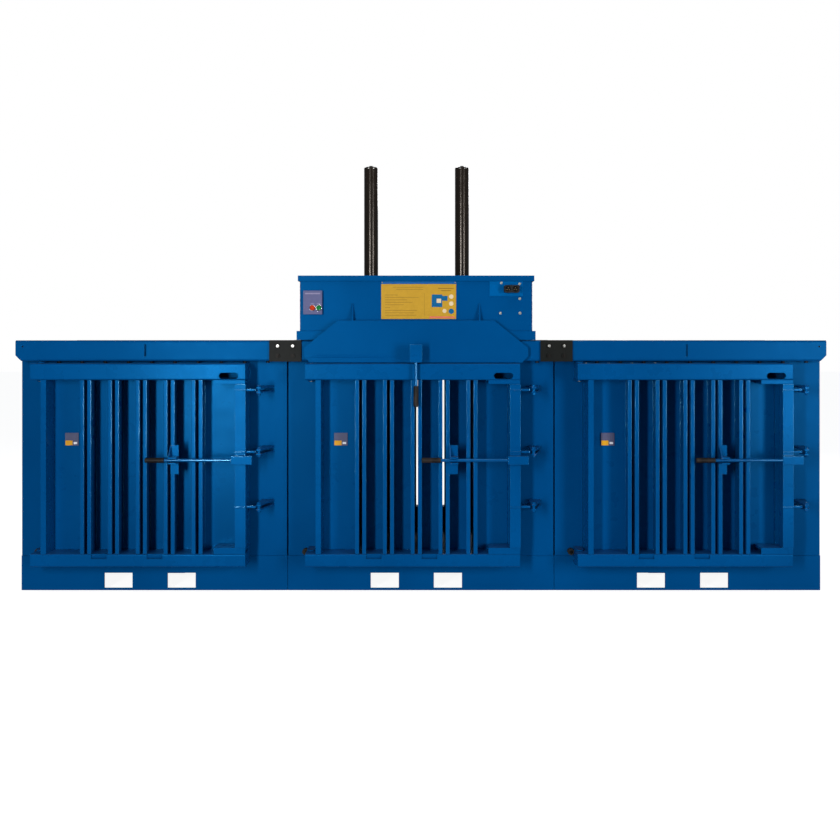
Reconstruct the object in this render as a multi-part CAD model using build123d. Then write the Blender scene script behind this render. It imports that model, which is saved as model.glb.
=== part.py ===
from build123d import *
import math
import os

os.makedirs("parts", exist_ok=True)

# Three baling chambers stand side by side under one pair of rails, and a press head rolls along
# the rails from chamber to chamber. Millimetres. X is to the right, -Y to the front and Z up.
# The origin is on the floor, under the centre of the middle chamber's base.

# Driving sizes of the chambers
module_pitch = 1518.0
module_gap = 8.0
module_depth = 960.0
plinth_gap = 2.0
plinth_height = 197.5
chamber_top = 1307.0
chamber_width = 1050.0
chamber_centre = -32.0
sheet = 6.0
deck_sheet = 8.0
post_depth = 80.0
sill_height = 45.0
lintel_height = 94.0

# Fork pockets, open below, through the front and the back of each plinth
pocket_width = 160.0
pocket_height = 86.0
pocket_centre = -26.0
pocket_spacing = 360.0
pocket_floor = 13.0
foot_depth = 80.0
foot_web = 16.0

# Strap slots in the back wall, between folded slats
rear_slot_count = 5
rear_slot_pitch = 168.0
rear_slot_centre = -22.0
rear_sill_height = 137.0
rear_slot_width = 16.0
rear_slat_depth = 60.0

# Door, hinged on the left, with a strap slot between each two folded slats
jamb_width = 40.0
jamb_depth = 40.0
door_gap = 6.0
door_depth = 144.0
door_shifts = (5.0, 5.0, -7.0)
door_left = -645.0
door_right = 543.0
door_drop = 11.0
door_bottom = 172.0
top_rail_height = 91.0
bottom_rail_height = 71.0
left_stile_edge = -587.0
left_stile_width = 30.0
right_stile_edge = 485.0
right_stile_depth = 26.0
door_slot_count = 5
door_slot_pitch = 153.7
door_slot_width = 18.0
first_slot = -338.0
lip_width = 22.0
rail_edge_radius = 8.0

# Hand slot in the door's top rail, at its right end
hand_slot_left = 398.0
hand_slot_length = 106.0
hand_slot_height = 34.0
hand_slot_drop = 68.0
corner_plate_left = 368.0
corner_plate_sheet = 8.0

# Hinges
hinge_x = -620.0
hinge_ahead = 90.0
hinge_pin_radius = 13.0
running_clearance = 0.05
hinge_lug_sheet = 8.0
hinge_lug_width = 46.0
hinge_gap = 0.7
hinge_pin_head = 4.0

# Lock bar with three claws, turned by a lever
lock_x = 516.0
lock_ahead = 165.0
lock_tube = 60.0
lock_top = 1183.0
lock_bottom = 278.0
lock_end_gap = 1.0
pivot_radius = 12.0
pivot_plate_sheet = 12.0
claw_levels = (503.0, 807.0, 1150.0)
claw_reach = 90.0
claw_width = 30.0
claw_sheet = 12.0
keeper_pin_x = 618.0
keeper_pin_radius = 9.0
keeper_sheet = 8.0
keeper_gap = 2.0
keeper_root_width = 120.0
keeper_margin = 3.0
lever_z = 766.0
lever_block_left = -44.0
lever_block_right = 70.0
lever_block_height = 46.0
lever_block_depth = 84.0
lever_rod_radius = 9.0
lever_rod_ahead = 226.0
lever_grip_radius = 14.0
lever_grip_length = 106.0
lever_grip_end = 105.0
lever_grip_edge = 4.6
grip_bite = 60.0

# Fork that the lever rests in when the door is locked
catch_places = (154.0, 176.0, 154.0)
catch_width = 46.0
catch_plate_height = 160.0
catch_plate_sheet = 6.0
catch_jaw_sheet = 8.0
catch_gap = 2.0
catch_reach = 60.0
catch_web_sheet = 6.0

# Guides for the tail of a strap, let into the bottom rail
guide_width = 84.0
guide_drop = 26.0
guide_radius = 34.0
guide_sheet = 3.0

# Rubber buffer at the foot of each hinge post
buffer_x = -660.0
buffer_z = 225.0
buffer_radius = 18.0
buffer_length = 34.0
buffer_bolt_radius = 8.0
buffer_bolt_head = 6.0

# Rails along the front and the back
rail_height = 117.0
rail_depth = 100.0
rail_wall = 8.0
rail_outer_radius = 12.0
rail_gap = 3.0
rail_end_cut = 34.0
lock_slot_width = 10.0
lock_slot_height = 67.0
lock_slot_rise = 61.0
rail_hole_radius = 5.0
rail_hole_inset = 40.0
rail_hole_rise = 82.0
joint_plate_width = 180.0
joint_plate_height = 120.0
joint_plate_sheet = 12.0
joint_bolt_spacing = 84.0
joint_bolt_rise = 28.0
bolt_head_radius = 12.0
bolt_head_height = 9.0
rail_bolt_pitch = 131.0
rail_bolt_ahead = 62.0
rail_bolt_radius = 11.0
rail_bolt_length = 9.5

# Press head that rolls on the rails, set out from its own centre and from the rails' top
head_centre = -27.0
head_width = 1299.0
head_height = 304.0
head_lift = 53.0
head_ahead = 96.0
head_sheet = 6.0
lid_side = 12.5
lid_height = 31.0
lid_sheet = 6.0
lid_overhang = 12.0
carriage_side = 20.0
carriage_lift = 2.5
carriage_ahead = 104.0
carriage_sheet = 8.0
deck_lift = 33.0
deck_thickness = 20.0
deck_inset = 110.0
beam_ahead = -24.0
beam_sheet = 16.0
beam_drop = 24.0

# Wheels under the head, on axles in bearing blocks
wheel_radius = 50.0
wheel_width = 34.0
wheel_edge = 3.0
wheel_lift = 0.3
wheel_inset = 109.5
wheel_ahead = 50.0
axle_radius = 14.0
bearing_width = 56.0
bearing_ahead = 4.0
bearing_thickness = 26.0

# Apron in front of the rail, with its fins
apron_ahead = 138.0
apron_sheet = 8.0
apron_rise = 58.0
apron_drop = 124.0
apron_shoulder_drop = 41.0
apron_half_top = 435.0
apron_half = 625.0
apron_corner = 34.0
fin_offset = 355.0
fin_sheet = 10.0
fin_height = 94.0

# Lock of the head: a hanging lever whose stud turns in the apron
head_lock_rise = 50.0
head_lock_boss_radius = 24.0
head_lock_block_width = 68.0
head_lock_block_above = 44.5
head_lock_block_below = 53.7
head_lock_block_depth = 46.0
head_lock_rod_radius = 9.0
head_lock_reach = 298.0
head_lock_grip_length = 115.0
head_lock_grip_radius = 14.0
head_lock_grip_edge = 4.6
head_lock_stud_radius = 10.0
head_lock_gap = 1.0

# Control panel with two push buttons, at the head's left
panel_inset = 19.0
panel_rise = 93.0
panel_width = 105.0
panel_height = 132.0
panel_depth = 26.0
button_radius = 14.0
button_height = 12.0
button_edge = 2.8
button_bore_gap = 1.0
button_rise = 35.5
stop_inset = 52.0
start_inset = 87.0

# Service plate and power inlet, at the head's right
service_inset = 51.0
service_rise = 196.0
service_width = 187.0
service_height = 82.0
service_sheet = 4.0
inlet_inset = 79.0
inlet_rise = 17.0
inlet_width = 86.0
inlet_height = 42.0
inlet_depth = 44.0
inlet_edge = 10.5
inlet_socket_radius = 15.0
inlet_socket_spacing = 40.0
inlet_socket_depth = 22.0

# Two upright hydraulic cylinders
cylinder_offset = 279.5
barrel_length = 1007.0
barrel_radius = 42.8
barrel_bore = 34.0
barrel_floor = 14.0
cap_radius = 32.0
cap_height = 12.0
rod_hole_gap = 10.0
gland_length = 40.0
flange_size = 130.0
flange_sheet = 18.0
piston_rod_radius = 22.5
piston_length = 50.0
piston_gap = 0.1
piston_headroom = 6.0
lid_hole_gap = 3.0

# Platen that the cylinders push down
platen_rise = 18.0
platen_height = 90.0
platen_sheet = 15.0
platen_side_gap = 14.0
platen_rib_sheet = 12.0
platen_rib_pitch = 190.0

# Oil tank and motor inside the head
tank_width = 300.0
tank_depth = 420.0
tank_height = 150.0
motor_radius = 60.0
motor_length = 240.0


def block(x0, x1, y0, y1, z0, z1):
    """A straight-edged block between two corners."""
    centre = Pos((x0 + x1) / 2, (y0 + y1) / 2, (z0 + z1) / 2)
    return centre * Box(x1 - x0, y1 - y0, z1 - z0)


def post(x, y, z0, z1, radius):
    """A round bar that stands upright."""
    return Pos(x, y, (z0 + z1) / 2) * Cylinder(radius, z1 - z0)


def bar_y(x, z, y0, y1, radius):
    """A round bar that runs from front to back."""
    return Pos(x, (y0 + y1) / 2, z) * Rot(90, 0, 0) * Cylinder(radius, y1 - y0)


def bar_x(y, z, x0, x1, radius):
    """A round bar that runs from side to side."""
    return Pos((x0 + x1) / 2, y, z) * Rot(0, 90, 0) * Cylinder(radius, x1 - x0)


def ahead(distance):
    """The Y of a plane this far in front of the chambers."""
    return -module_depth / 2 - distance


def plan(points, z0, height):
    """A prism over an outline seen from above."""
    face = Pos(0, 0, z0) * make_face(Polyline(*points, close=True))
    return extrude(face, height, dir=(0, 0, 1))


def front_plate(points, y_front, thickness):
    """A plate that stands facing the front, from an outline of X and Z."""
    corners = [(x, y_front, z) for x, z in points]
    return extrude(make_face(Polyline(*corners, close=True)), thickness, dir=(0, 1, 0))


def side_plate(points, x0, thickness):
    """A plate that stands facing sideways, from an outline of Y and Z."""
    corners = [(x0, y, z) for y, z in points]
    return extrude(make_face(Polyline(*corners, close=True)), thickness, dir=(1, 0, 0))


# Places that follow from the driving sizes
module_half = (module_pitch - module_gap) / 2
plinth_half = (module_pitch - plinth_gap) / 2
chamber_left = chamber_centre - chamber_width / 2
chamber_right = chamber_centre + chamber_width / 2
back_y = module_depth / 2
liner_front = ahead(-post_depth)
liner_back = back_y - rear_slat_depth
lintel_bottom = chamber_top - lintel_height
door_back_ahead = jamb_depth + door_gap
door_front_ahead = door_back_ahead + door_depth
slat_bottom = door_bottom + bottom_rail_height
door_top = chamber_top - door_drop
slat_top = door_top - top_rail_height
hand_slot_z = door_top - hand_slot_drop
hinge_y = ahead(hinge_ahead)
lock_y = ahead(lock_ahead)
lever_y = ahead(lever_rod_ahead)
rail_top = chamber_top + rail_height
lock_slot_z = chamber_top + lock_slot_rise
head_left = head_centre - head_width / 2
head_right = head_centre + head_width / 2
head_front = ahead(head_ahead)
head_bottom = rail_top + head_lift
head_top = head_bottom + head_height
lid_top = head_top + lid_sheet
carriage_bottom = rail_top + carriage_lift
carriage_half = head_width / 2 + carriage_side
deck_low = rail_top + deck_lift
deck_top = deck_low + deck_thickness
wheel_z = rail_top + wheel_lift + wheel_radius
wheel_offset = carriage_half - wheel_inset
deck_half = wheel_offset - deck_inset
apron_front = ahead(apron_ahead)
apron_top = head_bottom + apron_rise
apron_bottom = rail_top - apron_drop
apron_shoulder = rail_top - apron_shoulder_drop
head_lock_z = chamber_top + head_lock_rise
panel_left = head_left + panel_inset
panel_low = head_bottom + panel_rise
button_z = panel_low + button_rise
stop_x = panel_left + stop_inset
start_x = panel_left + start_inset
service_left = head_right - service_inset - service_width
service_low = head_bottom + service_rise
barrel_top = deck_top + barrel_length
platen_bottom = chamber_top + platen_rise
platen_top = platen_bottom + platen_height


def plinth():
    """A skirt and deck of folded plate, with windows for a truck's forks and a middle foot."""
    outer = block(-plinth_half, plinth_half, ahead(0), back_y, 0, plinth_height)
    inside = block(
        -plinth_half + deck_sheet, plinth_half - deck_sheet,
        ahead(-deck_sheet), back_y - deck_sheet, -1, plinth_height - deck_sheet,
    )
    shell = outer - inside
    for side in (-1, 1):
        x = pocket_centre + side * pocket_spacing / 2
        shell -= block(
            x - pocket_width / 2, x + pocket_width / 2, ahead(1), back_y + 1,
            pocket_floor, pocket_floor + pocket_height,
        )
    foot_left = pocket_centre - (pocket_spacing - pocket_width) / 2
    foot_right = pocket_centre + (pocket_spacing - pocket_width) / 2
    shell += block(foot_left, foot_right, -foot_depth / 2, foot_depth / 2, 0, pocket_floor)
    shell += block(
        foot_left, foot_right, -foot_web / 2, foot_web / 2,
        pocket_floor, plinth_height - deck_sheet,
    )
    return [shell]


def frame():
    """Corner posts, lintels, door jambs and the caps over the side walls."""
    z0 = plinth_height
    top = chamber_top
    parts = []
    for y0, y1 in ((ahead(0), liner_front), (liner_back, back_y)):
        parts.append(block(-module_half, chamber_left, y0, y1, z0, top - sheet))
        parts.append(block(chamber_right, module_half, y0, y1, z0, top - sheet))
        parts.append(block(chamber_left, chamber_right, y0, y1, lintel_bottom, top - sheet))
    jamb_front = ahead(jamb_depth)
    left_outer = chamber_left - jamb_width
    right_outer = chamber_right + jamb_width
    sill = z0 + sill_height
    parts.append(block(left_outer, chamber_left, jamb_front, ahead(0), z0, top - sheet))
    parts.append(block(chamber_right, right_outer, jamb_front, ahead(0), z0, top - sheet))
    parts.append(
        block(chamber_left, chamber_right, jamb_front, ahead(0), lintel_bottom, top - sheet)
    )
    parts.append(block(chamber_left, chamber_right, jamb_front, liner_front, z0, sill))
    cap_low = top - sheet
    parts.append(block(-module_half, chamber_left, ahead(0), back_y, cap_low, top))
    parts.append(block(chamber_right, module_half, ahead(0), back_y, cap_low, top))
    parts.append(block(chamber_left, chamber_right, ahead(0), liner_front, cap_low, top))
    parts.append(block(chamber_left, chamber_right, liner_back, back_y, cap_low, top))
    return parts


def side_walls():
    """An outer skin and an inner liner on each side, between the posts."""
    z0 = plinth_height
    z1 = chamber_top - sheet
    parts = []
    for x in (-module_half, chamber_left - sheet, chamber_right, module_half - sheet):
        parts.append(block(x, x + sheet, liner_front, liner_back, z0, z1))
    return parts


def folded_slat(left, right, web_y, lip_y, z0, z1, fold_left, fold_right):
    """A strip of plate whose edges are folded forward and then in again as a lip."""
    out = math.copysign(1.0, lip_y - web_y)
    low, high = sorted((web_y, web_y + out * sheet))
    slat = block(left, right, low, high, z0, z1)
    side_low, side_high = sorted((web_y, lip_y))
    lip_low, lip_high = sorted((lip_y, lip_y - out * sheet))
    if fold_left:
        slat += block(left, left + sheet, side_low, side_high, z0, z1)
        slat += block(left, left + lip_width, lip_low, lip_high, z0, z1)
    if fold_right:
        slat += block(right - sheet, right, side_low, side_high, z0, z1)
        slat += block(right - lip_width, right, lip_low, lip_high, z0, z1)
    return slat


def slat_edges(left, right, first, pitch, count, gap):
    """The two sides of each slat, with a strap slot between each two."""
    edges = [left]
    for i in range(count):
        x = first + i * pitch
        edges += [x - gap / 2, x + gap / 2]
    edges.append(right)
    return [(edges[i], edges[i + 1]) for i in range(0, len(edges), 2)]


def back_wall():
    """Folded slats with strap slots between them, their smooth side to the chamber."""
    first = rear_slot_centre - (rear_slot_count - 1) / 2 * rear_slot_pitch
    bays = slat_edges(
        chamber_left, chamber_right, first, rear_slot_pitch, rear_slot_count, rear_slot_width
    )
    parts = []
    for i, (left, right) in enumerate(bays):
        parts.append(folded_slat(
            left, right, liner_back, back_y, plinth_height + rear_sill_height, lintel_bottom,
            i > 0, i < len(bays) - 1,
        ))
    parts.append(block(
        chamber_left, chamber_right, liner_back, back_y,
        plinth_height, plinth_height + rear_sill_height,
    ))
    return parts


def door_frame():
    """Channel rails with hinge arms, stiles, corner plate and the lock bar's brackets."""
    front = ahead(door_front_ahead)
    back = ahead(door_back_ahead)
    parts = []
    for z0, z1 in ((slat_top, door_top), (door_bottom, slat_bottom)):
        rail = block(door_left, door_right, front, back, z0, z1)
        rail = fillet(rail.edges().filter_by(Axis.X).group_by(Axis.Y)[0], rail_edge_radius)
        bore_radius = hinge_pin_radius + running_clearance
        bore = post(hinge_x, hinge_y, z0 - 1, z1 + 1, bore_radius)
        hollow_left = left_stile_edge + left_stile_width
        hollow = block(
            hollow_left, door_right - sheet, front + sheet, back + 1, z0 + sheet, z1 - sheet
        )
        rail = rail - bore - hollow
        if z0 == slat_top:
            rail -= hand_slot()
        else:
            rail -= guide_notches()
        parts.append(rail)
    stile_right = left_stile_edge + left_stile_width
    parts.append(block(left_stile_edge, stile_right, front, back, slat_bottom, slat_top))
    stile_front = back - right_stile_depth
    parts.append(block(
        right_stile_edge, door_right, stile_front, back, slat_bottom, slat_top
    ))
    parts.append(block(
        corner_plate_left, door_right, front, front + corner_plate_sheet,
        lock_top + pivot_plate_sheet, slat_top,
    ))
    lugs = (
        (lock_top, lock_top + pivot_plate_sheet),
        (lock_bottom - pivot_plate_sheet, lock_bottom),
    )
    for z0, z1 in lugs:
        plate = block(corner_plate_left, door_right, front, stile_front, z0, z1)
        plate -= post(lock_x, lock_y, z0 - 1, z1 + 1, pivot_radius + running_clearance)
        parts.append(plate)
    gusset_top = lock_bottom - pivot_plate_sheet
    parts.append(block(
        corner_plate_left, door_right, front, front + corner_plate_sheet,
        slat_bottom, gusset_top,
    ))
    return parts


def hand_slot():
    """The cutter of the rounded slot that a hand pulls the door by."""
    centre_x = hand_slot_left + hand_slot_length / 2
    outline = SlotOverall(hand_slot_length, hand_slot_height)
    face = Plane(
        origin=(centre_x, ahead(door_front_ahead + 1), hand_slot_z),
        x_dir=(1, 0, 0), z_dir=(0, 1, 0),
    ) * outline
    return extrude(face, corner_plate_sheet + 2)


def door_bays():
    """The sides of the door's folded slats."""
    left = left_stile_edge + left_stile_width
    return slat_edges(
        left, right_stile_edge, first_slot, door_slot_pitch, door_slot_count, door_slot_width
    )


def guide_places():
    """The left ends of the strap guides, under the second and the fourth slat."""
    bays = door_bays()
    return [bays[i][0] + lip_width for i in (1, 3)]


def guide_notches():
    """The cutters of the notches that the strap guides sit in."""
    front = ahead(door_front_ahead)
    notches = None
    for left in guide_places():
        notch = block(
            left, left + guide_width, front - 1, front + sheet + 1,
            slat_bottom - guide_drop, slat_bottom + 1,
        )
        notches = notch if notches is None else notches + notch
    return notches


def strap_guides():
    """A curved tongue in each notch that turns a strap's tail upward."""
    front = ahead(door_front_ahead)
    parts = []
    for left in guide_places():
        y = front + sheet + guide_radius
        z = slat_bottom - sheet
        curl = bar_x(y, z, left, left + guide_width, guide_radius)
        curl -= bar_x(y, z, left - 1, left + guide_width + 1, guide_radius - guide_sheet)
        keep = block(
            left, left + guide_width, front + sheet, y, z - guide_radius, z
        )
        parts.append(curl & keep)
    return parts


def door_slats():
    """Folded slats, their lips to the front, and the strap slots between them."""
    bays = door_bays()
    web = ahead(door_back_ahead) - sheet
    parts = []
    for i, (left, right) in enumerate(bays):
        parts.append(folded_slat(
            left, right, web + sheet, ahead(door_front_ahead), slat_bottom, slat_top,
            i > 0, i < len(bays) - 1,
        ))
    return parts


def hinge_lugs(hinge_x):
    """Plates on the post, above and below each hinge arm, that hold the pins."""
    parts = []
    for z0, z1 in ((slat_top, door_top), (door_bottom, slat_bottom)):
        for low in (z0 - hinge_gap - hinge_lug_sheet, z1 + hinge_gap):
            half = hinge_lug_width / 2
            lug = block(
                hinge_x - half, hinge_x + half, hinge_y, ahead(0), low, low + hinge_lug_sheet
            )
            lug += post(hinge_x, hinge_y, low, low + hinge_lug_sheet, half)
            lug -= post(hinge_x, hinge_y, low - 1, low + hinge_lug_sheet + 1, hinge_pin_radius)
            lug -= block(
                chamber_left - jamb_width, chamber_left, ahead(jamb_depth), ahead(0) + 1,
                low - 1, low + hinge_lug_sheet + 1,
            )
            parts.append(lug)
    return parts


def hinge_pins():
    """An upper and a lower pin, each with a thin head on its top lug."""
    parts = []
    for z0, z1 in ((slat_top, door_top), (door_bottom, slat_bottom)):
        low = z0 - hinge_gap - hinge_lug_sheet - hinge_pin_head
        high = z1 + hinge_gap + hinge_lug_sheet
        parts.append(post(hinge_x, hinge_y, low, high, hinge_pin_radius))
    return parts


def lock_bar():
    """A square tube with three claws, pivots at its ends and the lever's block and rod."""
    half = lock_tube / 2
    z0 = lock_bottom + lock_end_gap
    z1 = lock_top - lock_end_gap
    bar = block(lock_x - half, lock_x + half, lock_y - half, lock_y + half, z0, z1)
    pin_reach = pivot_plate_sheet + lock_end_gap
    bar += post(lock_x, lock_y, z1, z1 + pin_reach, pivot_radius)
    bar += post(lock_x, lock_y, z0 - pin_reach, z0, pivot_radius)
    parts = [bar]
    for z in claw_levels:
        low = z - claw_sheet / 2
        nose = claw_width / 2
        claw = block(
            lock_x + half, lock_x + claw_reach - nose, lock_y - nose, lock_y + nose,
            low, low + claw_sheet,
        )
        claw += post(lock_x + claw_reach - nose, lock_y, low, low + claw_sheet, nose)
        parts.append(claw)
    block_low = lever_z - lever_block_height / 2
    block_front = lock_y - half
    parts.append(block(
        lock_x + lever_block_left, lock_x + lever_block_right,
        block_front - lever_block_depth / 2, block_front,
        block_low, block_low + lever_block_height,
    ))
    parts.append(bar_x(
        lever_y, lever_z, lever_grip_end - grip_bite, lock_x + lever_block_left,
        lever_rod_radius,
    ))
    return parts


def lock_grip():
    """A moulded sleeve on the lever's end."""
    left = lever_grip_end - lever_grip_length
    sleeve = bar_x(lever_y, lever_z, left, lever_grip_end, lever_grip_radius)
    sleeve = fillet(sleeve.edges().filter_by(GeomType.CIRCLE), lever_grip_edge)
    rod = bar_x(
        lever_y, lever_z, lever_grip_end - grip_bite, lever_grip_end + 1, lever_rod_radius
    )
    return [sleeve - rod]


def keepers():
    """A pair of triangular plates at each claw, with an upright pin between them."""
    parts = []
    reach_y = lock_y - claw_width / 2 - 2 * keeper_pin_radius
    tip_left = keeper_pin_x - keeper_pin_radius - keeper_margin
    tip_right = keeper_pin_x + keeper_pin_radius + keeper_margin
    half = claw_sheet / 2 + keeper_gap
    for z in claw_levels:
        outline = [
            (tip_left, reach_y), (tip_right, reach_y),
            (keeper_pin_x + keeper_root_width / 2, ahead(0)), (tip_left, ahead(0)),
        ]
        for low in (z - half - keeper_sheet, z + half):
            parts.append(plan(outline, low, keeper_sheet))
        pin_y = reach_y + keeper_pin_radius + keeper_margin
        parts.append(post(keeper_pin_x, pin_y, z - half, z + half, keeper_pin_radius))
    return parts


def lever_catch(catch_x):
    """A fork on the door that the closed lever lies in, open to the front."""
    face = ahead(door_front_ahead)
    left = catch_x - catch_width / 2
    right = catch_x + catch_width / 2
    half = catch_plate_height / 2
    plate_front = face - catch_plate_sheet
    bay_left = door_bays()[4][0]
    parts = [block(
        bay_left, right, plate_front, face, lever_z - half, lever_z + half
    )]
    jaw_near = lever_rod_radius + catch_gap
    for low in (lever_z - jaw_near - catch_jaw_sheet, lever_z + jaw_near):
        parts.append(block(
            left, right, plate_front - catch_reach, plate_front, low, low + catch_jaw_sheet
        ))
    web_low = lever_z + jaw_near + catch_jaw_sheet
    web = [
        (plate_front, web_low), (plate_front - catch_reach, web_low),
        (plate_front, lever_z + half),
    ]
    parts.append(side_plate(web, left, catch_web_sheet))
    return parts


def door_buffers():
    """A rubber buffer and its bolt at the foot of each hinge post."""
    parts = []
    front = ahead(buffer_length)
    parts.append(bar_y(buffer_x, buffer_z, front, ahead(0), buffer_radius))
    parts.append(bar_y(buffer_x, buffer_z, front - buffer_bolt_head, front, buffer_bolt_radius))
    return parts


def rail():
    """One length of the front rail: a channel with its web outward, and the head's lock slot."""
    half = module_pitch / 2 - rail_gap / 2
    z1 = chamber_top + rail_height
    web_y = ahead(rail_depth)
    beam = block(-half, half, web_y, ahead(0), chamber_top, z1)
    outer = beam.edges().filter_by(Axis.X).group_by(Axis.Y)[0]
    beam = fillet(outer, rail_outer_radius)
    beam -= block(
        -half - 1, half + 1, web_y + rail_wall, ahead(0) + 1,
        chamber_top + rail_wall, z1 - rail_wall,
    )
    beam -= block(
        head_centre - lock_slot_width / 2, head_centre + lock_slot_width / 2,
        web_y - 1, web_y + rail_wall + 1,
        lock_slot_z - lock_slot_height / 2, lock_slot_z + lock_slot_height / 2,
    )
    return beam


def rails():
    """Three lengths of rail end to end, their outer ends cut back below."""
    out = []
    overall = module_pitch + module_half
    for i in (-1, 0, 1):
        beam = Pos(i * module_pitch, 0, 0) * rail()
        if i:
            end = i * overall
            trim = end - i * rail_hole_inset
            beam -= bar_y(
                trim, chamber_top + rail_hole_rise, ahead(rail_depth + 1),
                ahead(rail_depth - rail_wall - 1), rail_hole_radius,
            )
            cut = [
                (end + i, chamber_top - 1), (end - i * rail_end_cut, chamber_top - 1),
                (end + i, chamber_top + rail_end_cut),
            ]
            beam -= front_plate(cut, ahead(rail_depth + 1), rail_depth + 2)
            spare = [end, end + i * module_gap]
            beam -= block(
                min(spare), max(spare), ahead(rail_depth + 1), ahead(-1),
                chamber_top - 1, chamber_top + rail_height + 1,
            )
        out.append(beam)
    return out


def joint_plates():
    """Plates that join the rail lengths, and the heads of their bolts."""
    plates = []
    bolts = []
    low = chamber_top + (rail_height - joint_plate_height) / 2
    face = ahead(rail_depth + joint_plate_sheet)
    for side in (-0.5, 0.5):
        x = side * module_pitch
        half = joint_plate_width / 2
        plates.append(block(
            x - half, x + half, face, ahead(rail_depth), low, low + joint_plate_height
        ))
        for dx in (-joint_bolt_spacing / 2, joint_bolt_spacing / 2):
            for dz in (-joint_bolt_rise, joint_bolt_rise):
                z = low + joint_plate_height / 2 + dz
                bolts.append(bar_y(x + dx, z, face - bolt_head_height, face, bolt_head_radius))
    return plates, bolts


def rail_bolts():
    """Bolts up through the rail's lower flange."""
    bolts = []
    count = int(module_half * 2 / rail_bolt_pitch)
    start = -(count - 1) / 2 * rail_bolt_pitch
    for i in (-1, 0, 1):
        for n in range(count):
            x = i * module_pitch + start + n * rail_bolt_pitch
            clear_of_hinge = abs(x - i * module_pitch - hinge_x) > hinge_lug_width
            if clear_of_hinge:
                bolts.append(post(
                    x, ahead(rail_bolt_ahead), chamber_top - rail_bolt_length, chamber_top,
                    rail_bolt_radius,
                ))
    return bolts


def carriage():
    """A frame of plates, a deck on two beams between the rails, and the bearing blocks."""
    half = carriage_half
    front = ahead(carriage_ahead)
    back = -front
    left = head_centre - half
    right = head_centre + half
    t = carriage_sheet
    parts = [
        block(left, right, front, front + t, carriage_bottom, head_bottom),
        block(left, right, back - t, back, carriage_bottom, head_bottom),
        block(left, left + t, front + t, back - t, carriage_bottom, head_bottom),
        block(right - t, right, front + t, back - t, carriage_bottom, head_bottom),
    ]
    deck = block(
        head_centre - deck_half, head_centre + deck_half, front + t, back - t,
        deck_low, deck_top,
    )
    for side in (-1, 1):
        x = head_centre + side * cylinder_offset
        deck -= post(x, 0, deck_low - 1, deck_top + 1, piston_rod_radius + rod_hole_gap)
    parts.append(deck)
    beam_front = ahead(beam_ahead)
    for y in (beam_front, -beam_front - beam_sheet):
        parts.append(block(
            left + t, right - t, y, y + beam_sheet, rail_top - beam_drop, deck_low
        ))
    bearing_y = ahead(bearing_ahead) + bearing_thickness
    for side in (-1, 1):
        x = head_centre + side * wheel_offset
        bore = bar_y(x, wheel_z, front, back, axle_radius + running_clearance)
        edge = head_centre + side * deck_half
        out = x + side * bearing_width / 2
        for y0 in (-abs(bearing_y), abs(bearing_y) - bearing_thickness):
            hanger = block(
                min(edge, out), max(edge, out), y0, y0 + bearing_thickness,
                wheel_z - bearing_width / 2, wheel_z + bearing_width / 2,
            )
            hanger -= bore
            parts.append(hanger)
    return parts


def wheelset(side):
    """Two wheels on a through axle."""
    x = head_centre + side * wheel_offset
    wheel_y = ahead(wheel_ahead)
    reach = abs(wheel_y) + wheel_width / 2
    shape = bar_y(x, wheel_z, -reach, reach, axle_radius)
    for y in (wheel_y, -wheel_y):
        half = wheel_width / 2
        wheel = bar_y(x, wheel_z, y - half, y + half, wheel_radius)
        shape += chamfer(wheel.edges().filter_by(GeomType.CIRCLE), wheel_edge)
    return [shape]


def head_housing():
    """A welded box of plate, open below and closed by the lid."""
    front = head_front
    back = -front
    t = head_sheet
    return [
        block(head_left, head_right, front, front + t, head_bottom, head_top),
        block(head_left, head_right, back - t, back, head_bottom, head_top),
        block(head_left, head_left + t, front + t, back - t, head_bottom, head_top),
        block(head_right - t, head_right, front + t, back - t, head_bottom, head_top),
    ]


def head_lid():
    """A shallow tray turned over, with a hole for each cylinder."""
    left = head_left - lid_side
    right = head_right + lid_side
    front = ahead(head_ahead + lid_overhang)
    back = -front
    t = lid_sheet
    lid = block(left, right, front, back, lid_top - lid_height, lid_top)
    lid -= block(left + t, right - t, front + t, back - t, lid_top - lid_height - 1, head_top)
    for side in (-1, 1):
        x = head_centre + side * cylinder_offset
        lid -= post(x, 0, head_top - 1, lid_top + 1, barrel_radius + lid_hole_gap)
    return [lid]


def apron():
    """The plate over the rail that carries the head's lock, with its fold, fins and spacers."""
    c = head_centre
    outline = [
        (c - apron_half_top, apron_top), (c + apron_half_top, apron_top),
        (c + apron_half, apron_shoulder), (c + apron_half, apron_bottom + apron_corner),
        (c + apron_half - apron_corner, apron_bottom),
        (c - apron_half + apron_corner, apron_bottom),
        (c - apron_half, apron_bottom + apron_corner), (c - apron_half, apron_shoulder),
    ]
    plate = front_plate(outline, apron_front, apron_sheet)
    plate -= bar_y(
        c, head_lock_z, apron_front - 1, apron_front + apron_sheet + 1,
        head_lock_stud_radius + running_clearance,
    )
    face = head_front
    inner = apron_front + apron_sheet
    parts = [plate, block(
        c - apron_half_top, c + apron_half_top, inner, face,
        apron_top - apron_sheet, apron_top,
    )]
    for side in (-1, 1):
        x = c + side * fin_offset
        fin = [
            (face, apron_top), (apron_front, apron_top),
            (face, apron_top + fin_height),
        ]
        parts.append(side_plate(fin, x - fin_sheet / 2, fin_sheet))
        carrier = c + side * apron_half_top
        parts.append(block(
            carrier - apron_sheet / 2, carrier + apron_sheet / 2, inner, ahead(carriage_ahead),
            carriage_bottom, head_bottom,
        ))
    return parts


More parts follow.
